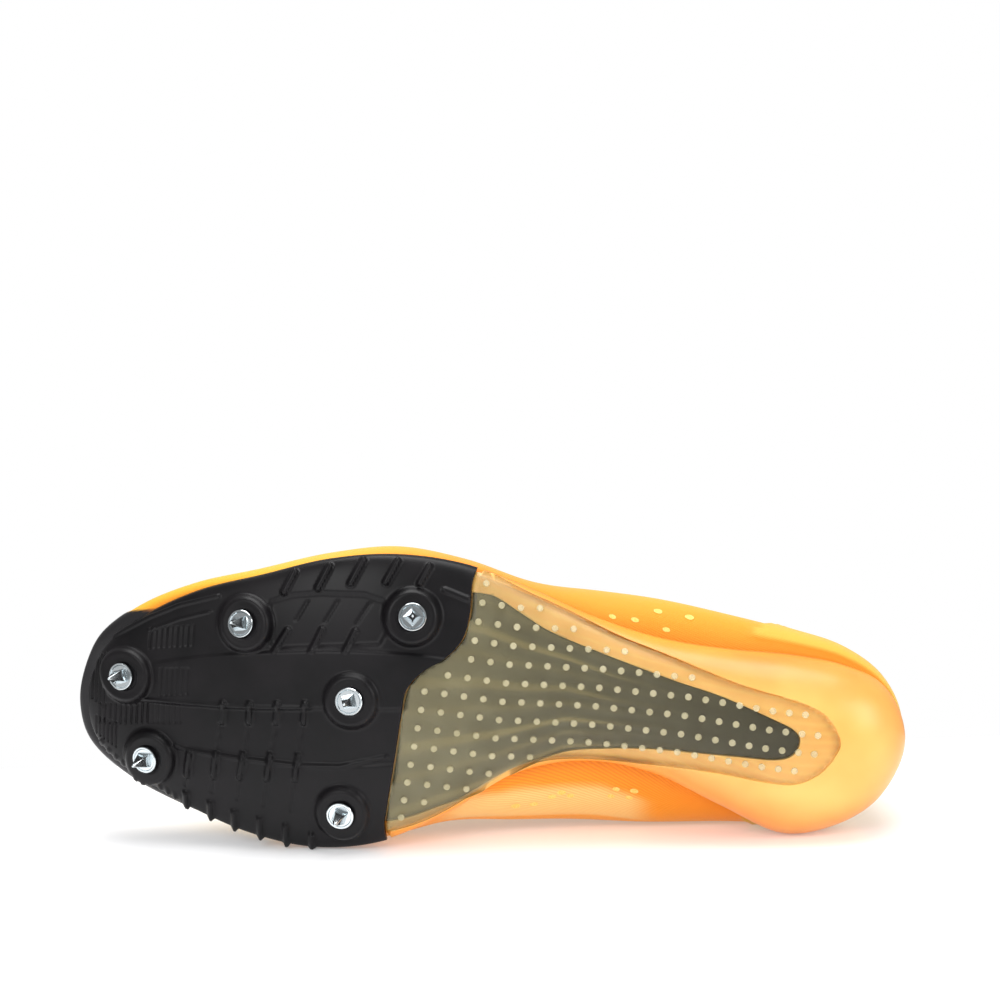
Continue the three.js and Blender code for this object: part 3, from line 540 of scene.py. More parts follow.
def plateNylon():
    # Glass-filled nylon, injection moulded: near-black with a faint warm mottle and a soft satin gloss
    look = {"grain": 0.5, "mottle": 14, "dark": "#080709", "light": "#110e11"}
    made, tree, shader = newMaterial("plate_nylon_moulded", Roughness=0.42, IOR=1.42, Specular_IOR_Level=0.32)
    place = addNode(tree, "TexCoord").outputs["Object"]
    mottle = addNode(tree, "TexNoise", {"Vector": place, "Scale": 1000 / look["mottle"], "Detail": 3.0})
    tone = addNode(tree, "ValToRGB", {"Fac": mottle.outputs["Fac"]},
                   [(0.35, look["dark"]), (0.7, look["light"])])
    rough = addNode(tree, "MapRange", {"Value": mottle.outputs["Fac"], "To Min": 0.36, "To Max": 0.5})
    grain = addNode(tree, "TexNoise", {"Vector": place, "Scale": 1000 / look["grain"], "Detail": 2.0})
    bump = addNode(tree, "Bump", {"Height": grain.outputs["Fac"], "Strength": 0.12, "Distance": 0.0001})
    feed(tree, shader, {"Base Color": tone.outputs["Color"], "Roughness": rough.outputs["Result"],
                        "Normal": bump.outputs["Normal"]})
    return made


def midsoleFoam():
    # Moulded foam with a smooth skin: cream-yellow under the heel, peach-orange on its sides
    look = {"mottle": 22, "skin": 1.2}
    made, tree, shader = newMaterial(
        "foam_moulded_skin", Roughness=0.38, IOR=1.45, Subsurface_Weight=0.12,
        Subsurface_Radius=(0.004, 0.002, 0.001), Coat_Weight=0.15, Coat_Roughness=0.3,
    )
    place = addNode(tree, "TexCoord").outputs["Object"]
    warmth = addNode(tree, "Attribute", attribute_name="warmth")
    tone = addNode(tree, "ValToRGB", {"Fac": warmth.outputs["Fac"]},
                   [(0.0, "#f0c068"), (0.35, "#eeb05c"), (0.7, "#f09c44"), (1.0, "#f5a03c")])
    mottle = addNode(tree, "TexNoise", {"Vector": place, "Scale": 1000 / look["mottle"], "Detail": 2.0})
    cloud = addNode(tree, "ValToRGB", {"Fac": mottle.outputs["Fac"]}, [(0.3, "#f4ead8"), (0.7, "#ffffff")])
    clouded = addNode(tree, "Mix", {0: 1.0, 6: tone.outputs["Color"], 7: cloud.outputs["Color"]},
                      data_type="RGBA", blend_type="MULTIPLY")
    skin = addNode(tree, "TexNoise", {"Vector": place, "Scale": 1000 / look["skin"], "Detail": 2.0})
    bump = addNode(tree, "Bump", {"Height": skin.outputs["Fac"], "Strength": 0.05, "Distance": 0.0002})
    feed(tree, shader, {"Base Color": clouded.outputs[2], "Normal": bump.outputs["Normal"]})
    return made


def clearFilm():
    # Clear thermoplastic film, moulded: a milky grey-beige veil with a smooth gloss
    look = {"cloud": 9}
    made, tree, shader = newMaterial("film_clear_moulded", Roughness=0.3, IOR=1.5, Coat_Weight=0.3,
                                     Coat_Roughness=0.25)
    place = addNode(tree, "TexCoord").outputs["Object"]
    cloud = addNode(tree, "TexNoise", {"Vector": place, "Scale": 1000 / look["cloud"], "Detail": 3.0})
    tone = addNode(tree, "ValToRGB", {"Fac": cloud.outputs["Fac"]}, [(0.3, "#948b68"), (0.7, "#a8a07c")])
    veil = addNode(tree, "Attribute", attribute_name="veil")
    feed(tree, shader, {"Base Color": tone.outputs["Color"], "Alpha": veil.outputs["Fac"]})
    return made


def filmNub():
    # The same film where it is thick: paler and milkier
    look = {"cloud": 5}
    made, tree, shader = newMaterial("film_nub_moulded", Roughness=0.35, IOR=1.5, Alpha=0.38)
    place = addNode(tree, "TexCoord").outputs["Object"]
    cloud = addNode(tree, "TexNoise", {"Vector": place, "Scale": 1000 / look["cloud"], "Detail": 1.0})
    tone = addNode(tree, "ValToRGB", {"Fac": cloud.outputs["Fac"]}, [(0.3, "#d4cba2"), (0.7, "#ebe2bd")])
    feed(tree, shader, {"Base Color": tone.outputs["Color"]})
    return made


def tailNylon():
    # Dark nylon fan under the film: broad ribs, with painted highlight on the crests and painted shade
    # between
    look = {"streaks": 34, "stretch": 5}
    made, tree, shader = newMaterial("tail_nylon_ribbed", Roughness=0.5, IOR=1.46)
    ribShading, fan, lengthways = (
        addNode(tree, "Attribute", attribute_name=name).outputs["Fac"]
        for name in ("ribShading", "fan", "lengthways")
    )
    # Painted light: near-black in the grooves as painted shade, pale on the rib crests as painted highlight
    tone = addNode(tree, "ValToRGB", {"Fac": ribShading}, [(0.0, "#12100a"), (0.5, "#3a3520"), (1.0, "#8c8150")])
    across = addNode(tree, "Math", {0: fan, 1: look["streaks"]}, operation="MULTIPLY")
    down = addNode(tree, "Math", {0: lengthways, 1: look["stretch"]}, operation="MULTIPLY")
    flow = addNode(tree, "CombineXYZ", {"X": across.outputs[0], "Y": down.outputs[0]})
    streaks = addNode(tree, "TexNoise", {"Vector": flow.outputs["Vector"], "Scale": 0.4, "Detail": 3.0})
    cloud = addNode(tree, "ValToRGB", {"Fac": streaks.outputs["Fac"]},
                    [(0.3, "#a9a495"), (0.5, "#dcd6c6"), (0.72, "#ffffff")])
    streaked = addNode(tree, "Mix", {0: 1.0, 6: tone.outputs["Color"], 7: cloud.outputs["Color"]},
                       data_type="RGBA", blend_type="MULTIPLY")
    feed(tree, shader, {"Base Color": streaked.outputs[2]})
    return made


def knitMesh():
    # Warp-knitted polyester: fine slanted ribs, deep orange at the foam and yellow at the top,
    # with a smooth black guard round the toe
    look = {"rib": 1.05, "slant": 62, "cell": 0.6}
    made, tree, shader = newMaterial("upper_knit_mesh", Roughness=0.6, IOR=1.45, Sheen_Weight=0.2,
                                     Sheen_Roughness=0.4)
    own = addNode(tree, "TexCoord").outputs["UV"]
    height, window, counter, guard = (
        addNode(tree, "Attribute", attribute_name=name).outputs["Fac"]
        for name in ("height", "window", "counter", "guard")
    )
    tone = addNode(tree, "ValToRGB", {"Fac": height}, [
        (0.0, "#f48c0c"), (0.22, "#f59c12"), (0.42, "#f3b022"), (0.7, "#eebe34"), (1.0, "#eac64a"),
    ])
    thin = addNode(tree, "Math", {0: window, 1: 0.7}, operation="MULTIPLY")
    opened = addNode(tree, "Mix", {0: thin.outputs[0], 6: tone.outputs["Color"], 7: colour("#f6d68e")},
                     data_type="RGBA")
    heel = addNode(tree, "Mix", {0: counter, 6: opened.outputs[2], 7: colour("#dcb13c")}, data_type="RGBA")
    slanted = addNode(tree, "Mapping", {"Vector": own, "Rotation": (0, 0, math.radians(look["slant"]))})
    ribs = addNode(tree, "TexWave", {"Vector": slanted.outputs["Vector"], "Scale": 1 / look["rib"] * 0.31,
                                     "Distortion": 0.6, "Detail": 1.0, "Detail Scale": 2.0})
    cells = addNode(tree, "TexVoronoi", {"Vector": own, "Scale": 1 / look["cell"]})
    lines = addNode(tree, "ValToRGB", {"Fac": ribs.outputs["Fac"]}, [(0.1, "#e2b684"), (0.6, "#ffffff")])
    lined = addNode(tree, "Mix", {0: 1.0, 6: heel.outputs[2], 7: lines.outputs["Color"]},
                    data_type="RGBA", blend_type="MULTIPLY")
    woven = addNode(tree, "Mix", {0: 0.4, 6: heel.outputs[2], 7: lined.outputs[2]}, data_type="RGBA")
    guarded = addNode(tree, "Mix", {0: guard, 6: woven.outputs[2], 7: colour("#131114")}, data_type="RGBA")
    rough = addNode(tree, "MapRange", {"Value": guard, "To Min": 0.6, "To Max": 0.42})
    relief = addNode(tree, "Math", {0: cells.outputs["Distance"], 1: 0.35, 2: ribs.outputs["Fac"]},
                     operation="MULTIPLY_ADD")
    uncovered = addNode(tree, "Math", {0: 1.0, 1: guard}, operation="SUBTRACT")
    raised = addNode(tree, "Math", {0: relief.outputs[0], 1: uncovered.outputs[0]}, operation="MULTIPLY")
    bump = addNode(tree, "Bump", {"Height": raised.outputs[0], "Strength": 0.3, "Distance": 0.00025})
    feed(tree, shader, {"Base Color": guarded.outputs[2], "Roughness": rough.outputs["Result"],
                        "Normal": bump.outputs["Normal"]})
    return made


def fabric(name, light, dark, thread):
    # A plain woven or knitted cloth, with threads of the given width in millimetres
    made, tree, shader = newMaterial(name, Roughness=0.8, IOR=1.45, Sheen_Weight=0.3)
    own = addNode(tree, "TexCoord").outputs["UV"]
    weave = addNode(tree, "TexVoronoi", {"Vector": own, "Scale": 1 / thread, "Randomness": 0.35})
    tone = addNode(tree, "ValToRGB", {"Fac": weave.outputs["Distance"]}, [(0.1, light), (0.8, dark)])
    bump = addNode(tree, "Bump", {"Height": weave.outputs["Distance"], "Strength": 0.4, "Distance": 0.0003},
                   invert=True)
    feed(tree, shader, {"Base Color": tone.outputs["Color"], "Normal": bump.outputs["Normal"]})
    return made


def spikeSteel():
    # Zinc-plated steel, turned and then ground on its four faces: bright, with fine turning marks
    look = {"mark": 0.4}
    made, tree, shader = newMaterial("spike_steel_plated", Metallic=1.0, Roughness=0.16,
                                     Base_Color=colour("#d3dadd"))
    place = addNode(tree, "TexCoord").outputs["Object"]
    marks = addNode(tree, "TexNoise", {"Vector": place, "Scale": 1000 / look["mark"], "Detail": 2.0})
    rough = addNode(tree, "MapRange", {"Value": marks.outputs["Fac"], "To Min": 0.08, "To Max": 0.24})
    feed(tree, shader, {"Roughness": rough.outputs["Result"]})
    return made


def ventThread():
    # Open knit that lets the pale lining through
    look = {"cell": 0.6}
    made, tree, shader = newMaterial("vent_open_knit", Roughness=0.7)
    place = addNode(tree, "TexCoord").outputs["Object"]
    cells = addNode(tree, "TexVoronoi", {"Vector": place, "Scale": 1000 / look["cell"]})
    tone = addNode(tree, "ValToRGB", {"Fac": cells.outputs["Distance"]}, [(0.1, "#f6b944"), (0.7, "#f8cf74")])
    feed(tree, shader, {"Base Color": tone.outputs["Color"]})
    return made


materials = {
    "plate": plateNylon(),
    "foam": midsoleFoam(),
    "film": clearFilm(),
    "nub": filmNub(),
    "tail": tailNylon(),
    "knit": knitMesh(),
    "lining": fabric("lining_knit", "#f3b552", "#c98a33", 1.1),
    "sock": fabric("sock_brushed_knit", "#4a494c", "#252427", 0.9),
    "tongue": fabric("tongue_knit", "#fbd25c", "#d99a35", 1.2),
    "lace": fabric("lace_braided_polyester", "#fdf6e2", "#cdbf98", 0.8),
    "thread": fabric("thread_twisted", "#ffe9a0", "#e0a83c", 0.5),
    "steel": spikeSteel(),
    "vent": ventThread(),
}


def dress(piece, *names):
    piece.data.materials.clear()
    for name in names:
        piece.data.materials.append(materials[name])


print("materials made")

# Outlines on the sole, in shares of length and ball width
jointLine = [
    (0.516, 0.6), (0.521, 0.52), (0.527, 0.456), (0.527, 0.37), (0.533, 0.285), (0.551, 0.22), (0.578, 0.17),
    (0.596, 0.107), (0.601, 0.02), (0.606, -0.12), (0.613, -0.29), (0.615, -0.37), (0.606, -0.5),
]
filmLine = [
    (0.57, 0.56), (0.53, 0.51), (0.5, 0.485), (0.463, 0.44), (0.416, 0.39), (0.352, 0.316), (0.289, 0.26),
    (0.209, 0.189), (0.153, 0.154), (0.118, 0.126), (0.098, 0.087), (0.085, 0.023), (0.091, -0.029),
    (0.108, -0.087), (0.136, -0.124), (0.174, -0.121), (0.216, -0.107), (0.261, -0.1), (0.314, -0.1),
    (0.366, -0.1), (0.418, -0.107), (0.463, -0.146), (0.505, -0.223), (0.557, -0.32), (0.6, -0.37), (0.65,
                                                                                                     -0.4),
]
tailLine = [
    (0.545, 0.43), (0.51, 0.425), (0.493, 0.41), (0.463, 0.362), (0.427, 0.31), (0.355, 0.243), (0.282,
                                                                                                 0.183),
    (0.223, 0.14), (0.164, 0.08), (0.139, 0.049), (0.132, 0.016), (0.139, -0.029), (0.16, -0.049),
    (0.208, -0.047), (0.301, -0.045), (0.36, -0.058), (0.407, -0.08), (0.453, -0.143), (0.498, -0.226),
    (0.551, -0.285), (0.59, -0.33), (0.625, -0.35),
]
frontEdge = np.array([(1.2, -0.7), (1.2, 0.7)]) * (shoe["length"], shoe["ballWidth"])
plateOutline = np.vstack([splineThrough(jointLine), frontEdge])
underPlate = np.array([(0.67, -0.38), (0.67, 0.5)]) * (shoe["length"], shoe["ballWidth"])
filmOutline = np.vstack([splineThrough(filmLine), underPlate[1:]])
tailOutline = np.vstack([splineThrough(tailLine), underPlate])


def moved(outline, back):
    return outline - np.array([back, 0])


def grown(outline, by):
    # A closed outline that runs anticlockwise, moved outwards all round
    way = np.roll(outline, -1, axis=0) - np.roll(outline, 1, axis=0)
    way = way / np.linalg.norm(way, axis=1)[:, None]
    return outline + by * np.stack([way[:, 1], -way[:, 0]], axis=1)


# Foam midsole, with beds for the plate, the tail and the film
midsoleLook = {"around": 380, "under": 76, "over": 10, "bedAround": 300, "bedAcross": 60}


def midsoleRings(v):
    # v runs from the spine under the sole to the rim, and back over the top to the spine
    under = midsoleLook["under"] / (midsoleLook["under"] + midsoleLook["over"])
    ring = np.where(v <= under, v / under, 1)
    ring = 1 - (1 - ring) ** 1.35
    top = np.clip((v - under) / (1 - under), 0, 1)
    return ring, top


def midsolePlace(u, v):
    ring, top = midsoleRings(v)
    skin = solePoint(u, ring)
    underThePlate = insideLine(skin[:, 0], skin[:, 1], moved(plateOutline, shoe["fit"])) & (top == 0)
    under = solePoint(u, ring, -(shoe["plate"] + shoe["fit"]) * underThePlate)
    middle, edge = spinePoint(u), soleLine(u)
    over = edge + (middle - edge) * top[:, None]
    over[:, 2] = footbedHeight(over[:, 0], over[:, 1])
    return np.where((top > 0)[:, None], over, under)


def midsoleTones(u, v):
    # Warmer on the sides and towards the waist, creamier under the heel
    ring, top = midsoleRings(v)
    skin = solePoint(u, ring)
    share = skin[:, 0] / shoe["length"]
    side = smooth(0.45, 1, ring)
    waist = smooth(0.02, 0.42, share)
    return {"warmth": np.clip(0.55 * side + 0.55 * waist * (0.4 + 0.6 * side), 0, 1)}


def cutBed(piece, outline, depth):
    # A bed of even depth under an outline
    def place(u, v):
        ring = np.where(v <= 0.5, v * 2, 2 - v * 2)
        return solePoint(u, ring, np.where(v <= 0.5, 3.0, -depth))

    bed = gridPiece("bed", midsoleLook["bedAround"], midsoleLook["bedAcross"], place)
    cutWith(bed, prism("bed_cutter", outline), "INTERSECT")
    cutWith(piece, bed, "DIFFERENCE")


def makeMidsole():
    look = midsoleLook
    piece = gridPiece("foam_midsole", look["around"], look["under"] + look["over"], midsolePlace,
                      midsoleTones, (760, 100))
    cutBed(piece, grown(filmOutline, shoe["fit"]), shoe["film"] + shoe["fit"])
    cutBed(piece, grown(tailOutline, shoe["fit"]), shoe["film"] + shoe["tail"] + 2 * shoe["fit"])
    bpy.ops.object.shade_smooth_by_angle(angle=math.radians(40))
    dress(piece, "foam")
    rides(piece, "foam", "midsole")


makeMidsole()
print("midsole made")

# Spike plate: terraces, bosses, ribs, fins and fine grooves, in shares of length and ball width
plateLook = {
    "around": 640,
    "across": 104,
    "inner": 10,
    "turnStart": 0.245,
    "bossRadius": 10.6,
    "bossHeight": 3.4,
    "seatRadius": 4.75,
    "seatDepth": 0.5,
    "grooveDepth": 0.5,
    "grooveWidth": 0.85,
}
# Raised lines, each with its width and height in millimetres
raisedLines = [
    ([(0.926, -0.019), (0.87, -0.012), (0.82, -0.004), (0.765, 0.008), (0.71, 0.023)], 1.7, 0.9),
    ([(0.878, -0.159), (0.859, -0.169), (0.79, -0.172), (0.719, -0.172), (0.671, -0.163),
      (0.617, -0.121)], 1.7, 0.9),
    ([(0.969, 0.176), (0.92, 0.261), (0.882, 0.313), (0.833, 0.358)], 1.5, 0.8),
    ([(0.918, 0.219), (0.88, 0.268), (0.842, 0.303)], 1.1, 0.6),
    ([(0.743, 0.272), (0.757, 0.203)], 2, 1.4),
    ([(0.701, 0.285), (0.712, 0.214)], 2, 1.4),
    ([(0.661, 0.288), (0.671, 0.224)], 2, 1.4),
    ([(0.558, 0.437), (0.53, 0.41)], 2.2, 0.9),
]
# Thin grooves, cut to the same depth
thinGrooves = [
    [(0.825, -0.156), (0.819, -0.058)], [(0.789, -0.148), (0.785, -0.047)],
    [(0.756, -0.148), (0.75, -0.036)], [(0.722, -0.146), (0.718, -0.027)],
    [(0.864, -0.295), (0.862, -0.258)], [(0.829, -0.305), (0.827, -0.245)],
    [(0.796, -0.317), (0.792, -0.231)], [(0.763, -0.326), (0.758, -0.227)],
    [(0.729, -0.332), (0.725, -0.219)],
    [(0.721, 0.372), (0.733, 0.307)], [(0.684, 0.381), (0.698, 0.309)], [(0.645, 0.382), (0.66, 0.311)],
]
# Fields of fine grooves: the first and last place in x, and where each groove starts and ends in y
grooveFields = [
    {"x": (0.917, 0.862), "start": (0.16, 0.187), "end": (0.226, 0.253), "count": 9},
    {"x": (0.9, 0.865), "start": (0.006, 0.024), "end": (0.097, 0.109), "count": 6},
    {"x": (0.98, 0.873), "start": (-0.12, -0.077), "end": (-0.053, -0.012), "count": 16},
    {"x": (0.985, 0.957), "start": (-0.16, -0.195), "end": (-0.1, -0.11), "count": 6},
    {"x": (0.992, 0.975), "start": (-0.04, -0.06), "end": (0.1, 0.12), "count": 4},
]
# Rows of short ribs: from the toe back, each a climb further out than the one before it
ribRows = [
    {"first": 0.818, "pitch": 0.034, "lean": 0.001, "from": 0.007, "to": -0.058, "climb": 0.0103, "count": 4},
    {"first": 0.859, "pitch": 0.0343, "lean": 0.003, "from": -0.176, "to": -0.258, "climb": 0.009,
     "count": 5},
]
# Terraces: each steps up by its height on the far side of its line, fading out at its ends
terraces = [
    {"line": [(0.93, 0.1), (0.851, 0.154), (0.775, 0.191), (0.689, 0.22), (0.6, 0.226), (0.5, 0.2)],
     "side": -1, "height": 1.0, "soft": 0.8},
    {"line": [(0.95, -0.02), (0.87, -0.012), (0.82, -0.004), (0.765, 0.008), (0.71, 0.023), (0.55, 0.05)],
     "side": -1, "height": -1.0, "soft": 0.8},
    {"line": [(0.9, -0.15), (0.859, -0.169), (0.79, -0.172), (0.719, -0.172), (0.671, -0.163), (0.55, -0.12)],
     "side": -1, "height": 0.7, "soft": 0.8},
]
outerFins = [((0.739, 0.458), (0.75, 0.394)), ((0.697, 0.487), (0.709, 0.417)),
             ((0.657, 0.513), (0.67, 0.44)),
             ((0.616, 0.518), (0.628, 0.452)), ((0.578, 0.507), (0.588, 0.452))]
innerFins = [(0.864, -0.322), (0.832, -0.343), (0.801, -0.363), (0.768, -0.375), (0.735, -0.388),
             (0.703, -0.408)]
sunkenPanel = [(0.767, 0.364), (0.74, 0.392), (0.706, 0.407), (0.652, 0.413), (0.628, 0.395),
               (0.62, 0.3), (0.63, 0.245), (0.702, 0.223), (0.757, 0.203), (0.775, 0.25)]


def inMillimetres(line):
    return np.array(line, float) * (shoe["length"], shoe["ballWidth"])


def raisedBy(x, y, line, width, height):
    # A rounded ridge along a line
    points = inMillimetres(line)
    near = (np.abs(x - points[:, 0].mean()) < np.ptp(points[:, 0]) / 2 + 3 * width)
    near &= np.abs(y - points[:, 1].mean()) < np.ptp(points[:, 1]) / 2 + 3 * width
    rise = np.zeros(x.shape)
    apart = lineDistance(x[near], y[near], points)
    rise[near] = height * (1 - smooth(0.2 * width, 0.62 * width, apart))
    return rise


def terraceRise(x, y, line, side, height, soft):
    points = splineThrough(line)
    order = np.argsort(points[:, 0])
    edge = np.interp(x, points[order, 0], points[order, 1])
    ends = smooth(points[:, 0].min(), points[:, 0].min() + 14, x) * smooth(0, 14, points[:, 0].max() - x)
    return height * smooth(-soft, soft, side * (y - edge)) * ends


def plateRelief(x, y):
    # How far the plate's face stands out from its skin, in millimetres
    look = plateLook
    length, width = shoe["length"], shoe["ballWidth"]
    rise = np.zeros(x.shape)
    for terrace in terraces:
        rise += terraceRise(x, y, **terrace)
    rise -= 1.1 * smooth(-0.6, 1.6, depthInside(x, y, inMillimetres(sunkenPanel)))
    ridges = np.zeros(x.shape)
    for line, ridgeWidth, height in raisedLines:
        ridges = np.maximum(ridges, raisedBy(x, y, line, ridgeWidth, height))
    for row in ribRows:
        for k in range(row["count"]):
            at = row["first"] - row["pitch"] * k
            lift = row["climb"] * k
            line = [(at, row["from"] + lift), (at + row["lean"], row["to"] + lift)]
            ridges = np.maximum(ridges, raisedBy(x, y, line, 2.2, 2.0))
    for top, foot in outerFins:
        ridges = np.maximum(ridges, raisedBy(x, y, [top, foot], 2.4, 2.3))
    for top in innerFins:
        ridges = np.maximum(ridges, raisedBy(x, y, [top, (top[0] - 0.003, top[1] - 0.2)], 2.2, 1.7))
    for line in thinGrooves:
        rise -= raisedBy(x, y, line, look["grooveWidth"], look["grooveDepth"])
    for field in grooveFields:
        for k in range(field["count"]):
            t = k / (field["count"] - 1)
            at, start, end = (a + (b - a) * t for a, b in (field["x"], field["start"], field["end"]))
            rise -= raisedBy(x, y, [(at, start), (at, end)], look["grooveWidth"], look["grooveDepth"])
    rise = rise + ridges
    for place in spikePlaces:
        apart = np.hypot(x - length * place[0], y - width * place[1]) / look["bossRadius"]
        dome = look["bossHeight"] * (1 - smooth(0.72, 1.05, apart))
        dome -= 0.22 * (1 - smooth(0.52, 0.74, apart))
        blend = smooth(1.05, 0.85, apart)
        rise = rise * (1 - blend) + dome * blend
        seat = smooth(look["seatRadius"] + 0.25, look["seatRadius"] - 0.25, apart * look["bossRadius"])
        rise -= seat * look["seatDepth"]
    return rise


def rimSerration(turn, ring):
    # Small teeth along the inner edge of the toe
    x = soleLine(turn)[:, 0] / shoe["length"]
    inner = (turn > 0.5) & (x > 0.86) & (x < 0.985)
    wave = 0.5 + 0.5 * np.cos(2 * np.pi * x * shoe["length"] / 2.9)
    return np.where(inner, 0.5 * smooth(0.35, 0.75, wave) * smooth(0.9, 0.95, ring), 0)


def plateRings(v):
    outer = plateLook["across"] / (plateLook["across"] + plateLook["inner"])
    ring = np.where(v <= outer, v / outer, 1 - (v - outer) / (1 - outer))
    return np.where(v <= outer, 1 - (1 - ring) ** 1.12, ring), v > outer


def platePlace(u, v):
    turn = plateLook["turnStart"] + u * (1 - 2 * plateLook["turnStart"])
    ring, inside = plateRings(v)
    skin = solePoint(turn, ring)
    rise = plateRelief(skin[:, 0], skin[:, 1]) + rimSerration(turn, ring)
    edge = smooth(1.0, 0.985, ring)
    return solePoint(turn, ring, np.where(inside, -shoe["plate"], rise * (0.35 + 0.65 * edge)))


def closeEnds(piece):
    bpy.context.view_layer.objects.active = piece
    bpy.ops.object.mode_set(mode="EDIT")
    bpy.ops.mesh.select_all(action="DESELECT")
    bpy.ops.mesh.select_non_manifold(extend=False, use_wire=False, use_boundary=True,
                                     use_multi_face=False, use_non_contiguous=False, use_verts=False)
    bpy.ops.mesh.edge_face_add()
    bpy.ops.mesh.select_all(action="SELECT")
    bpy.ops.mesh.normals_make_consistent(inside=False)
    bpy.ops.object.mode_set(mode="OBJECT")


def makePlate():
    look = plateLook
    piece = gridPiece("nylon_spike_plate", look["around"], look["across"] + look["inner"], platePlace,
                      None, (400, 55))
    closeEnds(piece)
    cutWith(piece, prism("plate_cutter", plateOutline), "INTERSECT")
    dress(piece, "plate")
    bpy.ops.object.shade_smooth_by_angle(angle=math.radians(40))
    rides(piece, "black_plate", "spike_plate")


makePlate()
print("plate made")

# Dark fan under the film, with ribs that spread from its narrow end
tailLook = {"around": 420, "across": 70, "ribs": 15, "ribDepth": 0.8}


def fanShare(x, y):
    # Where a place lies between the inner and the outer edge of the fan, from 0 to 1
    share = x / shoe["length"]
    outer = np.interp(share, [0.132, 0.223, 0.355, 0.463, 0.51, 0.62], [0.07, 0.14, 0.243, 0.362, 0.43, 0.5])
    inner = np.interp(share, [0.132, 0.301, 0.407, 0.498, 0.59, 0.65],
                      [-0.04, -0.045, -0.08, -0.226, -0.33, -0.37])
    return (y / shoe["ballWidth"] - inner) / (outer - inner)


def fanCrest(x, y):
    share = x / shoe["length"]
    wave = 0.5 + 0.5 * np.sin(2 * np.pi * tailLook["ribs"] * fanShare(x, y) / 2)
    uneven = 0.75 + 0.25 * np.sin(23 * fanShare(x, y) + 2)
    return wave * uneven * smooth(0.2, 0.42, share)


def tailPlace(u, v):
    outside = v <= 0.5
    ring = np.where(outside, v * 2, 2 - v * 2)
    skin = solePoint(u, ring)
    top = -shoe["film"] - shoe["fit"] - tailLook["ribDepth"] * (1 - fanCrest(skin[:, 0], skin[:, 1]))
    return solePoint(u, ring, np.where(outside, top, -shoe["film"] - shoe["fit"] - shoe["tail"]))


def tailTones(u, v):
    ring = np.where(v <= 0.5, v * 2, 2 - v * 2)
    skin = solePoint(u, ring)
    return {
        # The rib crests also paint the fan's shade and highlight
        "ribShading": fanCrest(skin[:, 0], skin[:, 1]),
        "fan": fanShare(skin[:, 0], skin[:, 1]),
        "lengthways": skin[:, 0] / shoe["length"],
    }


def makeTail():
    piece = gridPiece("nylon_plate_tail", tailLook["around"], tailLook["across"], tailPlace, tailTones,
                      (760, 100))
    cutWith(piece, prism("tail_cutter", tailOutline), "INTERSECT")
    cutWith(piece, prism("joint_cutter", moved(plateOutline, 2 * shoe["fit"])), "DIFFERENCE")
    dress(piece, "tail")
    bpy.ops.object.shade_smooth_by_angle(angle=math.radians(40))
    rides(piece, "dark_tail", "plate_tail")


makeTail()
print("tail made")

# Clear film with its nubs
filmLook = {"around": 300, "across": 60, "proud": 0.05}
nubLook = {
    "first": (0.447, 0.262),
    "column": (-0.0237, -0.003),
    "row": (0.003, -0.0615),
    "radius": 1.05,
    "height": 0.75,
    "inset": 2.6,
    "sides": 14,
}


def filmPlace(u, v):
    # A whole sheet under the sole, a little proud of its rim so that the outline cuts it cleanly
    ring = np.where(v <= 0.5, v * 2, 2 - v * 2)
    return solePoint(u, ring, np.where(v <= 0.5, filmLook["proud"], -shoe["film"]))


def filmTones(u, v):
    # Milky by the plate and along its edge, nearly clear under the heel
    ring = np.where(v <= 0.5, v * 2, 2 - v * 2)
    skin = solePoint(u, ring)
    share = skin[:, 0] / shoe["length"]
    edge = depthInside(skin[:, 0], skin[:, 1], filmOutline)
    veil = np.interp(share, [0.1, 0.3, 0.42, 0.5, 0.54, 0.6], [0.05, 0.11, 0.15, 0.2, 0.26, 0.28])
    return {"veil": veil + 0.06 * smooth(1.8, 0.3, edge)}


def nubPlaces():
    # Even rows that bow a little under the arch and close up towards the heel
    found = []
    for row in range(-4, 11):
        for column in range(-8, 22):
            first, across, down = nubLook["first"], nubLook["column"], nubLook["row"]
            away = column + 6
            bowed = np.interp(away, [0, 5, 10, 15, 20], [0.015, 0.002, 0.021, 0.027, 0.015])
            share = (first[0] + column * across[0] + row * down[0] + 0.00011 * away**2,
                     first[1] + column * across[1] + row * down[1] + bowed)
            x, y = inShoe(share)
            spot = (np.array([x]), np.array([y]))
            inFilm = depthInside(*spot, filmOutline)[0]
            fromPlate = -depthInside(*spot, plateOutline)[0]
            if min(inFilm, fromPlate) > nubLook["inset"]:
                found.append((x, y))
    return found


def turnedTo(points, at, out):
    # Points made round the z axis, stood on the sole
    turn = Vector((0, 0, 1)).rotation_difference(toWay(out)).to_matrix()
    return [Vector(toPart(at)) + turn @ Vector(p) / 1000 for p in points]


def makeNub():
    # One nub: a low dome with a dimple and a dot in its middle
    look = nubLook
    bpy.ops.mesh.primitive_circle_add(vertices=look["sides"], radius=look["radius"] * 1.15, fill_type="NGON")
    nub = bpy.context.object
    bpy.ops.object.mode_set(mode="EDIT")
    bpy.ops.mesh.select_all(action="SELECT")
    steps = [(0.8, 0.86), (0.15, 0.8), (-0.25, 0.75), (0.2, 0.55)]
    for rise, shrink in steps:
        bpy.ops.mesh.extrude_region_move(TRANSFORM_OT_translate={"value": (0, 0, rise * look["height"])})
        bpy.ops.transform.resize(value=(shrink, shrink, 1))
    bpy.ops.object.mode_set(mode="OBJECT")
    bpy.ops.object.shade_smooth()
    return nub


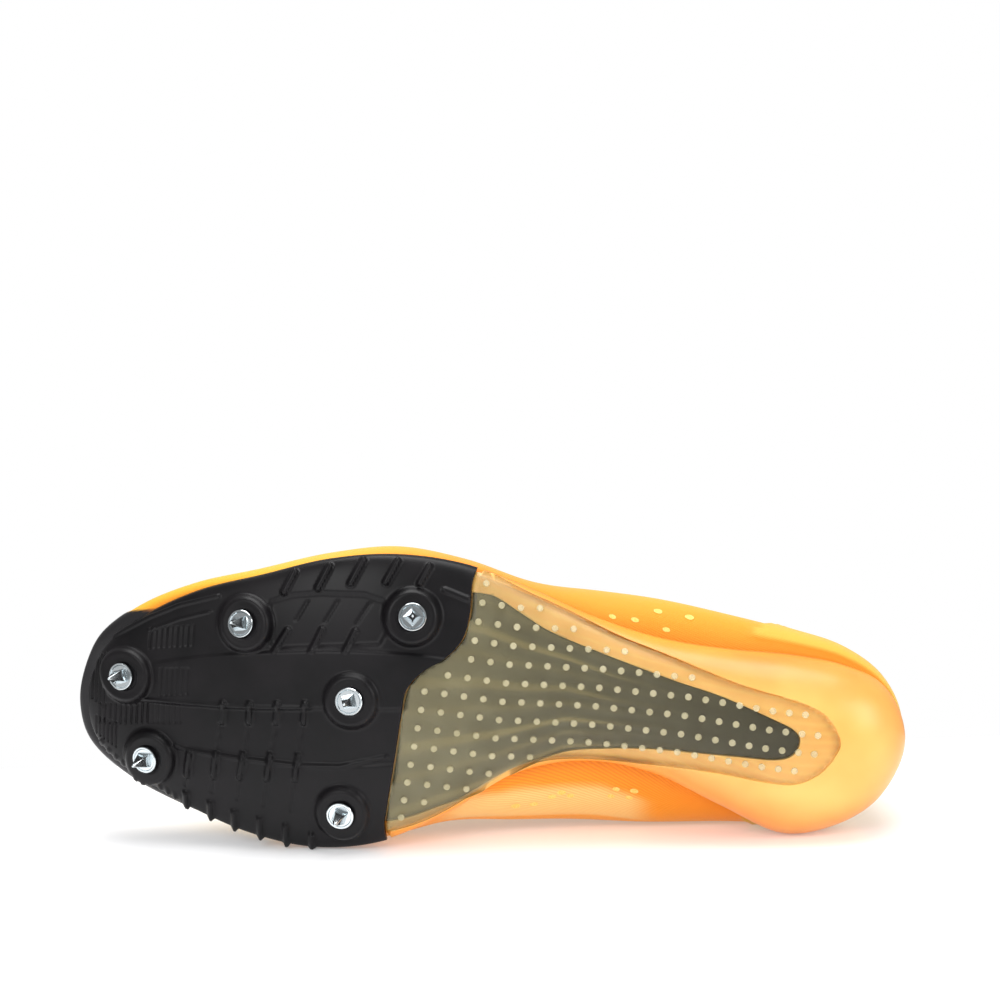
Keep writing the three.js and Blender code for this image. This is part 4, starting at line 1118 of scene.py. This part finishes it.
def makeFilm():
    piece = gridPiece("clear_film", filmLook["around"], filmLook["across"], filmPlace, filmTones, (760, 100))
    cutWith(piece, prism("joint_cutter", moved(plateOutline, shoe["fit"])), "DIFFERENCE")
    cutWith(piece, prism("film_cutter", grown(filmOutline, -0.02)), "INTERSECT")
    dress(piece, "film")
    bpy.ops.object.shade_smooth_by_angle(angle=math.radians(40))
    nub = makeNub()
    points = [v.co.copy() for v in nub.data.vertices]
    copies = []
    for x, y in nubPlaces():
        copy = nub.copy()
        copy.data = nub.data.copy()
        bpy.context.collection.objects.link(copy)
        placed = turnedTo(points, underSole(x, y), outOfSole(x, y))
        copy.data.vertices.foreach_set("co", np.array(placed).ravel())
        copies.append(copy)
    bpy.data.objects.remove(nub)
    field = joined("film_nubs", copies)
    tidy(field)
    dress(field, "nub")
    rides(piece, "clear_film", "clear_outsole")
    rides(field, "clear_film")
    print(len(copies), "nubs")


makeFilm()
print("film made")

# Upper: one shell from its foot over the outside to the top line and down the lining
upperLook = {
    "around": 336,
    "outer": 60,
    "lip": 8,
    "inner": 24,
    "counterFoot": 0.12,
    "stayWidth": 13,
    "eyeletRadius": 1.9,
}
counterSide = [(-0.1, 0), (0.21, 0), (0.2, 0.3), (0.17, 0.45), (0.135, 0.58), (0.108, 0.72),
               (0.095, 0.86), (0.09, 1.2), (-0.1, 1.2)]
throatStart = 7 * 1.5
eyeletLook = {"rows": 6, "inset": 6.5, "first": 0.4, "last": 5.4}
# Soft creases of the vamp, across the ball: where along the shoe, how deep and how wide, in millimetres
creases = [(0.655, 0.5, 5.5), (0.7, -0.35, 6), (0.74, 0.45, 5), (0.79, -0.25, 6)]


def eyeletPlaces():
    found = []
    for k in range(eyeletLook["rows"]):
        row = eyeletLook["first"] + (eyeletLook["last"] - eyeletLook["first"]) * k / (eyeletLook["rows"] - 1)
        turn = (throatStart + row * 1.5) / wallSteps
        run = np.linalg.norm(topLine(turn) - shoulderLine(turn))
        share = 1 - (1 - shoulderShare) * eyeletLook["inset"] / run
        found += [(turn, share), (1 - turn, share)]
    return found


def throatNearness(turn):
    # 1 beside the throat, 0 round the collar
    place = np.minimum(turn % 1, 1 - turn % 1) * wallSteps
    return smooth(throatStart - 1.2, throatStart + 0.3, place)


def toeGuard(turn, share):
    # The thin black guard that carries the plate's edge up round the toe, to its inner side
    turn = np.asarray(turn) % 1
    around = smooth(0.39, 0.455, turn) * smooth(0.68, 0.63, turn)
    return smooth(0.4 * around + 0.012, 0.4 * around - 0.012, share) * (around > 0.05)


def upperGrow(turn, share, place):
    # Steps of the outside: top band, counter, eyestay, and the soft creases of the vamp
    side = np.column_stack([place[:, 0], place[:, 2]])
    outline = np.array(counterSide) * (shoe["length"], shoe["heelHeight"])
    inCounter = depthInside(side[:, 0], side[:, 1], outline)
    counter = smooth(-0.5, 0.7, inCounter) + 0.35 * np.exp(-((inCounter - 1.1) / 0.9) ** 2)
    foot = smooth(upperLook["counterFoot"] - 0.01, upperLook["counterFoot"] + 0.015, share)
    grow = shoe["counter"] * counter * foot * smooth(0.85, 0.82, share)
    run = np.linalg.norm(topLine(turn) - shoulderLine(turn), axis=-1) / (1 - shoulderShare)
    fromTop = (1 - share) * run
    band = smooth(7.6, 6.8, fromTop) * (1 - throatNearness(turn))
    stay = smooth(upperLook["stayWidth"] + 0.5, upperLook["stayWidth"] - 0.3, fromTop) * throatNearness(turn)
    grow = np.maximum(grow, shoe["band"] * np.maximum(band, 0.8 * stay))
    grow = grow + 0.4 * toeGuard(turn, share)
    fold = np.zeros(share.shape)
    for at, depth, width in creases:
        line = place[:, 0] - shoe["length"] * at - 0.12 * place[:, 1]
        fold += depth * np.exp(-((line / width) ** 2))
    vamp = smooth(0.3, 0.6, share) * smooth(1.0, 0.88, share)
    ripple = 0.12 * np.sin(place[:, 0] / 9 + 2 * share) * np.sin(place[:, 2] / 7)
    grow = grow + fold * vamp + ripple * smooth(0.1, 0.3, share) * smooth(0.95, 0.85, share)
    return grow, stay, counter * foot


def upperShares(v):
    look = upperLook
    total = look["outer"] + look["lip"] + look["inner"]
    step = v * total
    share = np.where(step <= look["outer"], step / look["outer"], 1.0)
    lip = np.clip((step - look["outer"]) / look["lip"], 0, 1)
    inner = np.clip((step - look["outer"] - look["lip"]) / look["inner"], 0, 1)
    return np.where(inner > 0, 1 - inner, share), lip, inner


def upperPlace(u, v):
    share, lip, inner = upperShares(v)
    place = wallPoint(u, share)
    normal = wallNormal(u, share)
    outside, _, _ = upperGrow(u, share, place)
    thick = shoe["wall"] + outside
    # Round the top edge over from the outside to the lining
    turn = np.pi * lip
    rise = wallPoint(u, np.ones(u.shape)) - wallPoint(u, np.full(u.shape, 0.98))
    rise = rise / np.linalg.norm(rise, axis=1)[:, None]
    grow = np.where(lip > 0, outside - thick * (1 - np.cos(turn)) / 2, outside)
    made = place + normal * grow[:, None] + rise * (np.sin(turn) * thick / 2 * 0.9)[:, None]
    foot = inner >= 1
    made[foot, 2] = footHeight(u[foot])
    return made


def upperTones(u, v):
    share, lip, inner = upperShares(v)
    place = wallPoint(u, share)
    _, stay, counter = upperGrow(u, share, place)
    lining = np.maximum(smooth(0.5, 1, lip), smooth(0, 0.02, inner))
    length = place[:, 0] / shoe["length"]
    height = share + 0.42 * smooth(0.5, 0.78, length) * smooth(0.03, 0.12, share)
    window = np.interp(length, [0.3, 0.36, 0.43, 0.48, 0.55], [27, 24, 22, 20, 15])
    opened = smooth(4.5, 3, np.abs(place[:, 2] - window))
    opened = opened * smooth(0.29, 0.33, length) * smooth(0.57, 0.52, length) * (u > 0.5)
    return {
        "height": np.clip(height, 0, 1),
        "counter": np.clip(np.maximum(counter, 0.7 * stay), 0, 1),
        "guard": toeGuard(u, share),
        "window": opened,
        "lining": lining,
    }


def punchEyelets(piece):
    for turn, share in eyeletPlaces():
        centre, way = wallPoint(turn, share), wallNormal(turn, share)
        bpy.ops.mesh.primitive_cylinder_add(vertices=20, radius=upperLook["eyeletRadius"], depth=14)
        punch = bpy.context.object
        placed = turnedTo([v.co for v in punch.data.vertices], centre, way)
        punch.data.vertices.foreach_set("co", np.array(placed).ravel())
        cutWith(piece, punch, "DIFFERENCE")


def makeUpper():
    look = upperLook
    across = look["outer"] + look["lip"] + look["inner"]
    piece = gridPiece("knit_upper", look["around"], across, upperPlace, upperTones, (640, 170))
    punchEyelets(piece)
    dress(piece, "knit", "lining")
    lining = np.empty(len(piece.data.vertices), np.float32)
    piece.data.attributes["lining"].data.foreach_get("value", lining)
    for face in piece.data.polygons:
        face.material_index = int(np.mean([lining[k] for k in face.vertices]) > 0.5)
    bpy.ops.object.shade_smooth_by_angle(angle=math.radians(50))
    rides(piece, "mesh_upper", "upper")


makeUpper()
print("upper made")

# Insole sheet on the foam
insoleLook = {"around": 200, "across": 14}


def insolePlace(u, v):
    edge, middle = soleLine(u), spinePoint(u)
    reach = edge - middle
    inset = shoe["lastingInset"] + shoe["wall"] + 5 * shoe["fit"]
    rim = 1 - inset / np.linalg.norm(reach, axis=1)
    share = np.where(v <= 0.5, v * 2, 2 - v * 2)
    place = middle + reach * (rim * share)[:, None]
    over = v > 0.5
    crown = shoe["insole"] * (1 - 0.35 * smooth(0.9, 1.0, share))
    place[:, 2] = footbedHeight(place[:, 0], place[:, 1]) + shoe["fit"] + np.where(over, crown, 0)
    return place


def makeInsole():
    piece = gridPiece("sock_insole", insoleLook["around"], insoleLook["across"], insolePlace, None,
                      (600, 100))
    dress(piece, "sock")
    rides(piece, "sock_fabric", "insole")


makeInsole()

# Tongue: it follows the inside of the wall round the throat and bows up between its edges
tongueLook = {
    "thickness": 2.6, "gap": 1.2, "backGap": 2, "bow": 2, "reach": 0.86, "backReach": 0.97,
    "tipReach": 17, "tipRise": 13, "spineEnd": 0.69,
}


def tongueRing(step):
    look = tongueLook
    half = wallSteps / 2
    widening = min((step - throatStart) / 3, 1)
    depth = shoe["wall"] + look["backGap"] + (look["gap"] - look["backGap"]) * widening
    lowest = look["backReach"] + (look["reach"] - look["backReach"]) * widening
    shares = [lowest, (1 + lowest) / 2, 1]
    near, far = step / wallSteps, 1 - step / wallSteps
    closeness = float(smooth(throatStart, half, step))
    edges = [wallSkin(near, 1, -depth), wallSkin(far, 1, -depth)]
    middle = (edges[0] + edges[1]) / 2
    end = shoe["length"] * look["spineEnd"]
    if middle[0] > end:
        middle[0] = min(shoe["length"] * np.interp(step / 1.5, range(lastRow + 1), table["topX"]), end)
    middle[2] += look["bow"] * (1 - closeness)

    def between(edge):
        place = (edge + middle) / 2
        place[2] += 0.2 * look["bow"]
        return place

    top = [wallSkin(near, share, -depth) for share in shares]
    top += [between(edges[0]), middle, between(edges[1])]
    top += [wallSkin(far, share, -depth) for share in reversed(shares)]
    under = [wallSkin(far, share, -depth - look["thickness"]) for share in shares]
    under += [place - np.array([0, 0, look["thickness"]]) for place in (top[5], top[4], top[3])]
    under += [wallSkin(near, share, -depth - look["thickness"]) for share in reversed(shares)]
    return np.array(top + under)


def makeTongue():
    look = tongueLook
    rings = [tongueRing(throatStart + k * 0.75) for k in range(21)]
    base = rings[0]
    centre = base.mean(0)
    for back, up, narrow in ((0.47, 0.5, 0.92), (1, 1, 0.72)):
        raised = base.copy()
        raised[:, 1] = centre[1] + (raised[:, 1] - centre[1]) * narrow
        raised[:, 0] -= back * look["tipReach"]
        raised[:, 2] += up * look["tipRise"]
        rings.insert(0, raised)
    rings = np.array(rings)
    count = rings.shape[1]

    def place(u, v):
        k = np.minimum((v * (len(rings) - 1)).round().astype(int), len(rings) - 1)
        return rings[k, (u * count).round().astype(int) % count]

    piece = gridPiece("knit_tongue", count, len(rings) - 1, place, None, (140, 120))
    closeEnds(piece)
    finishModifier(piece, "SUBSURF", levels=2, render_levels=2)
    bpy.ops.object.shade_smooth()
    dress(piece, "tongue")
    rides(piece, "tongue_fabric", "tongue")


makeTongue()
print("insole and tongue made")

# Flat lace through the eyelets: it dips into each hole, crosses to the next one over the tongue,
# and its ends stop at the top eyelets
laceLook = {"width": 5, "thickness": 1.2, "bow": 2.2, "dip": 3.2, "neck": 0.62, "steps": 34}


def laceStrap(start, end):
    look = laceLook
    rise = shoe["band"] + shoe["fit"] + look["thickness"] / 2
    edgeA = wallSkin(start[0], 1, rise + shoe["fit"])
    edgeB = wallSkin(end[0], 1, rise + shoe["fit"])
    third = (edgeB - edgeA) * 0.2
    middle = (edgeA + edgeB) / 2
    middle[2] += look["bow"]
    outA, outB = wallNormal(*start), wallNormal(*end)
    overA, overB = wallSkin(*start, rise), wallSkin(*end, rise)
    route = np.array([
        wallSkin(*start, -look["dip"]),
        wallSkin(*start, rise * 0.4),
        overA + third * 0.1 + (edgeA - overA) * 0.25,
        edgeA + third * 0.3,
        middle,
        edgeB - third * 0.3,
        overB - third * 0.1 + (edgeB - overB) * 0.25,
        wallSkin(*end, rise * 0.4),
        wallSkin(*end, -look["dip"]),
    ])
    padded = np.vstack([route[:1], route, route[-1:]])

    def at(t):
        place = np.clip(t, 0, 1) * (len(route) - 1)
        k = np.minimum(np.floor(place).astype(int), len(route) - 2)
        w = (place - k)[:, None]
        p0, p1, p2, p3 = (padded[k + n] for n in range(4))
        a, b = (p2 - p0) / 2, (p3 - p1) / 2
        return p1 + a * w + (-3 * p1 + 3 * p2 - 2 * a - b) * w**2 + (2 * p1 - 2 * p2 + a + b) * w**3

    across = (outA + outB) / 2
    across = across / np.linalg.norm(across)
    straight = edgeB - edgeA
    wide = np.cross(straight / np.linalg.norm(straight), across)

    def place(u, v):
        # u runs round the flat section, v along the lace
        centre = at(v)
        tangent = at(v + 0.01) - at(v - 0.01)
        tangent = tangent / np.linalg.norm(tangent, axis=1)[:, None]
        side = wide - tangent * (tangent @ wide)[:, None]
        side = side / np.linalg.norm(side, axis=1)[:, None]
        out = np.cross(side, tangent)
        angle = 2 * np.pi * u
        neck = look["neck"] + (1 - look["neck"]) * smooth(0.13, 0.3, np.minimum(v, 1 - v))
        breadth = np.sign(np.cos(angle)) * np.abs(np.cos(angle)) ** 0.55
        flat = np.sign(np.sin(angle)) * np.abs(np.sin(angle)) ** 0.75
        return (centre + side * (breadth * look["width"] / 2 * neck)[:, None]
                + out * (flat * look["thickness"] / 2)[:, None])

    strap = gridPiece("strap", 16, look["steps"], place, None, (12, 60))
    closeEnds(strap)
    return strap


def makeLace():
    holes = eyeletPlaces()
    straps = [laceStrap(holes[-2], holes[-1])]
    for k in range(0, len(holes) - 2, 2):
        straps.append(laceStrap(holes[k], holes[k + 3]))
        straps.append(laceStrap(holes[k + 1], holes[k + 2]))
    piece = joined("lace_cord", straps)
    dress(piece, "lace")
    rides(piece, "lace_cord", "lace")


makeLace()
print("lace made")

# Spikes: a plated flange with a ring and a four-sided pin, modelled once
spikeLook = {
    "seat": 2.95,
    "socket": 4.3,
    "flange": 4.7,
    "thickness": 1.0,
    "dish": 0.35,
    "stub": 2.8,
    "pinSide": 2.75,
    "pin": 7.6,
    "tip": 0.5,
}


def makeSpikeModel():
    look = spikeLook
    bpy.ops.mesh.primitive_circle_add(vertices=48, radius=look["stub"], fill_type="NGON")
    flange = bpy.context.object
    top = look["seat"] + look["thickness"]
    foot = look["seat"] - look["socket"]
    profile = [
        (look["stub"], look["seat"]),
        (look["flange"] - 0.15, look["seat"]),
        (look["flange"], look["seat"] + 0.15),
        (look["flange"], top - 0.2),
        (look["flange"] - 0.2, top),
        (0.86 * look["flange"], top),
        (0.8 * look["flange"], top - look["dish"]),
        (0.62 * look["flange"], top - look["dish"]),
    ]
    bpy.ops.object.mode_set(mode="EDIT")
    bpy.ops.mesh.select_all(action="SELECT")
    bpy.ops.transform.translate(value=(0, 0, foot))
    radius, height = look["stub"], foot
    for nextRadius, nextHeight in profile:
        bpy.ops.mesh.extrude_region_move(TRANSFORM_OT_translate={"value": (0, 0, nextHeight - height)})
        shrink = nextRadius / radius
        bpy.ops.transform.resize(value=(shrink, shrink, 1))
        radius, height = nextRadius, nextHeight
    bpy.ops.object.mode_set(mode="OBJECT")
    bpy.ops.mesh.primitive_cone_add(vertices=4, radius1=look["pinSide"] * 1.25, radius2=look["tip"],
                                    depth=look["pin"], location=(0, 0, top - look["dish"] + look["pin"] / 2))
    pin = bpy.context.object
    bpy.ops.object.transform_apply(location=True, rotation=True, scale=True)
    finishModifier(pin, "BEVEL", width=0.28, segments=3, limit_method="ANGLE")
    model = joined("spike_model", [flange, pin])
    bpy.ops.object.shade_smooth_by_angle(angle=math.radians(35))
    return model


def makeSpikes():
    model = makeSpikeModel()
    points = [v.co.copy() for v in model.data.vertices]
    turns = [40, 20, 35, 50, 15, 5]
    for k, place in enumerate(spikePlaces):
        spike = model.copy()
        spike.data = model.data.copy()
        bpy.context.collection.objects.link(spike)
        spike.name = "steel_spike_" + str(k + 1)
        x, y = inShoe(place)
        turned = [Matrix.Rotation(math.radians(turns[k]), 3, "Z") @ p for p in points]
        placed = turnedTo(turned, underSole(x, y), outOfSole(x, y))
        spike.data.vertices.foreach_set("co", np.array(placed).ravel())
        spike.data.update()
        dress(spike, "steel")
        rides(spike, "spike_steel", "spike_" + str(k + 1))
    bpy.data.objects.remove(model)


makeSpikes()
print("spikes made")

# Trim on the upper: stitches and vents
stitchLook = {"length": 2.2, "pitch": 3.1, "radius": 0.28}


def capsule():
    bpy.ops.mesh.primitive_cylinder_add(vertices=6, radius=stitchLook["radius"], depth=stitchLook["length"])
    stitch = bpy.context.object
    bpy.ops.object.mode_set(mode="EDIT")
    bpy.ops.mesh.select_all(action="SELECT")
    bpy.ops.transform.rotate(value=math.radians(90), orient_axis="Y", center_override=(0, 0, 0))
    bpy.ops.object.mode_set(mode="OBJECT")
    finishModifier(stitch, "BEVEL", width=0.16, segments=2, limit_method="ANGLE")
    return np.array([v.co for v in stitch.data.vertices]), stitch


def stitchRun(turns, shares, grow):
    # Even places along a line on the wall, each with its own directions
    dense = wallSkin(turns, shares, grow)
    gaps = np.linalg.norm(np.diff(dense, axis=0), axis=1)
    run = np.concatenate([[0], np.cumsum(gaps)])
    count = int(run[-1] / stitchLook["pitch"])
    at = np.linspace(0, run[-1], count)
    place = np.stack([np.interp(at, run, dense[:, k]) for k in range(3)], axis=1)
    way = np.gradient(place, axis=0)
    way = way / np.linalg.norm(way, axis=1)[:, None]
    turnAt, shareAt = np.interp(at, run, turns), np.interp(at, run, shares)
    return place, way, wallNormal(turnAt, shareAt)


def makeStitches():
    shape, stitch = capsule()
    turns = np.linspace(-throatStart / wallSteps + 0.01, throatStart / wallSteps - 0.01, 400)
    run = np.linalg.norm(topLine(turns) - shoulderLine(turns), axis=-1) / (1 - shoulderShare)
    runs = [(turns, 1 - 6.2 / run, shoe["band"] + 0.1)]
    for first, last in ((throatStart, 24.6), (wallSteps - 24.6, wallSteps - throatStart)):
        turns = np.linspace(first, last, 300) / wallSteps
        run = np.linalg.norm(topLine(turns) - shoulderLine(turns), axis=-1) / (1 - shoulderShare)
        runs += [(turns, 1 - 2.4 / run, 0.5), (turns, 1 - 11.6 / run, 0.5)]
    copies = []
    for turns, shares, grow in runs:
        place, way, out = stitchRun(turns, shares, grow)
        side = np.cross(out, way)
        for k in range(len(place)):
            points = place[k] + shape @ np.array([way[k], side[k], out[k]])
            copy = stitch.copy()
            copy.data = stitch.data.copy()
            bpy.context.collection.objects.link(copy)
            copy.data.vertices.foreach_set("co", toPart(points).ravel())
            copies.append(copy)
    bpy.data.objects.remove(stitch)
    piece = joined("stitches", copies)
    tidy(piece)
    dress(piece, "thread")
    rides(piece, "mesh_upper")
    print(len(copies), "stitches")


makeStitches()

ventLook = {"sides": 12, "radius": 1.0, "lift": 0.12}
# Vents by place: share of the length, share of the ball's width, and height in millimetres
ventPlaces = [
    (0.33, 0.352, 22.7), (0.291, 0.33, 23.4), (0.265, 0.367, 27.1), (0.36, 0.37, 21), (0.305, 0.37, 27),
    (0.418, -0.25, 19.8), (0.395, -0.252, 21), (0.41, -0.231, 19.5), (0.344, -0.215, 21),
    (0.322, -0.219, 21.6), (0.349, -0.242, 21.8), (0.325, -0.25, 22.8), (0.44, -0.29, 20), (0.46, -0.3, 19),
]


def wallDisc(turn, share, radius, stretch):
    # A small flat disc that follows the wall
    centre = wallPoint(turn, share)
    forward = wallPoint(turn + 0.003, share) - wallPoint(turn - 0.003, share)
    up = wallPoint(turn, share + 0.01) - wallPoint(turn, share - 0.01)
    bpy.ops.mesh.primitive_circle_add(vertices=ventLook["sides"], radius=1, fill_type="TRIFAN")
    disc = bpy.context.object
    flat = np.array([v.co for v in disc.data.vertices])
    turns = turn + flat[:, 0] * stretch * radius * 0.006 / np.linalg.norm(forward)
    shares = share + flat[:, 1] * radius * 0.02 / np.linalg.norm(up)
    place = wallPoint(turns, shares)
    grow, _, _ = upperGrow(turns, shares, place)
    skin = place + wallNormal(turns, shares) * (grow + ventLook["lift"])[:, None]
    disc.data.vertices.foreach_set("co", toPart(skin).ravel())
    return disc


def makeVents():
    discs = []
    turns, shares = np.meshgrid(np.linspace(0, 1, 501), np.linspace(0.02, 0.9, 60))
    wall = wallPoint(turns, shares)
    for x, y, z in ventPlaces:
        apart = np.linalg.norm(wall - (x * shoe["length"], y * shoe["ballWidth"], z), axis=-1)
        nearest = np.unravel_index(np.argmin(apart), apart.shape)
        size = ventLook["radius"] * random.uniform(0.8, 1.15)
        discs.append(wallDisc(turns[nearest], shares[nearest], size, 1.6))
    piece = joined("vent_spots", discs)
    tidy(piece)
    dress(piece, "vent")
    rides(piece, "mesh_upper")


makeVents()
print("trim made")

# Floor, light and world
stageLook = {"size": 6, "back": 0.108, "around": 0.62, "mirrored": 0.3}


def makeStage():
    turn = math.radians(camera["azimuth"])
    away = stageLook["back"] - stageLook["size"] / 2
    place = (-away * math.sin(turn), away * math.cos(turn), -0.0002)
    bpy.ops.mesh.primitive_plane_add(size=stageLook["size"], location=place, rotation=(0, 0, turn))
    floor = bpy.context.object
    floor.name = "floor"
    made, tree, shader = newMaterial("floor_gloss_acrylic", Roughness=0.18, IOR=1.4)
    shader.inputs["Base Color"].default_value = colour("#f6f6f7")
    shader.inputs["Emission Color"].default_value = (1, 1, 1, 1)
    shader.inputs["Emission Strength"].default_value = 0.22
    floor.data.materials.append(made)
    world = bpy.data.worlds.new("studio")
    bpy.context.scene.world = world
    world.use_nodes = True
    tree = world.node_tree
    # Pure white where it is seen, softer as light, and dim in the gloss of the plate and the steel
    path = addNode(tree, "LightPath")
    dimmer = stageLook["mirrored"] - stageLook["around"]
    mirrored = addNode(tree, "Math", {0: path.outputs["Is Glossy Ray"], 1: dimmer}, operation="MULTIPLY")
    light = addNode(tree, "Math", {0: mirrored.outputs[0], 1: stageLook["around"]}, operation="ADD")
    shown = addNode(tree, "MapRange", {"Value": path.outputs["Is Camera Ray"], "To Min": light.outputs[0],
                                       "To Max": 1.0})
    sky = addNode(tree, "Background", {"Color": (1, 1, 1, 1), "Strength": shown.outputs["Result"]})
    tree.links.new(sky.outputs["Background"], tree.nodes["World Output"].inputs["Surface"])


def softbox(name, place, target, size, power):
    bpy.ops.object.light_add(type="AREA", location=place)
    lamp = bpy.context.object
    lamp.name = name
    lamp.data.shape = "RECTANGLE"
    lamp.data.size, lamp.data.size_y = size
    lamp.data.energy = power
    way = Vector(target) - Vector(place)
    lamp.rotation_euler = way.to_track_quat("-Z", "Y").to_euler()


makeStage()
softbox("top_box", (0.05, 0.1, 0.95), (0, 0, 0.05), (0.9, 0.6), 9)
softbox("front_box", (-0.5, -1.0, 0.7), (0, 0, 0.05), (0.7, 0.5), 6)
softbox("side_box", (0.9, -0.5, 0.5), (0.05, 0, 0.05), (0.5, 0.5), 4)
scene = bpy.context.scene
scene.view_settings.view_transform = "Standard"
scene.view_settings.look = "None"
print("stage made")
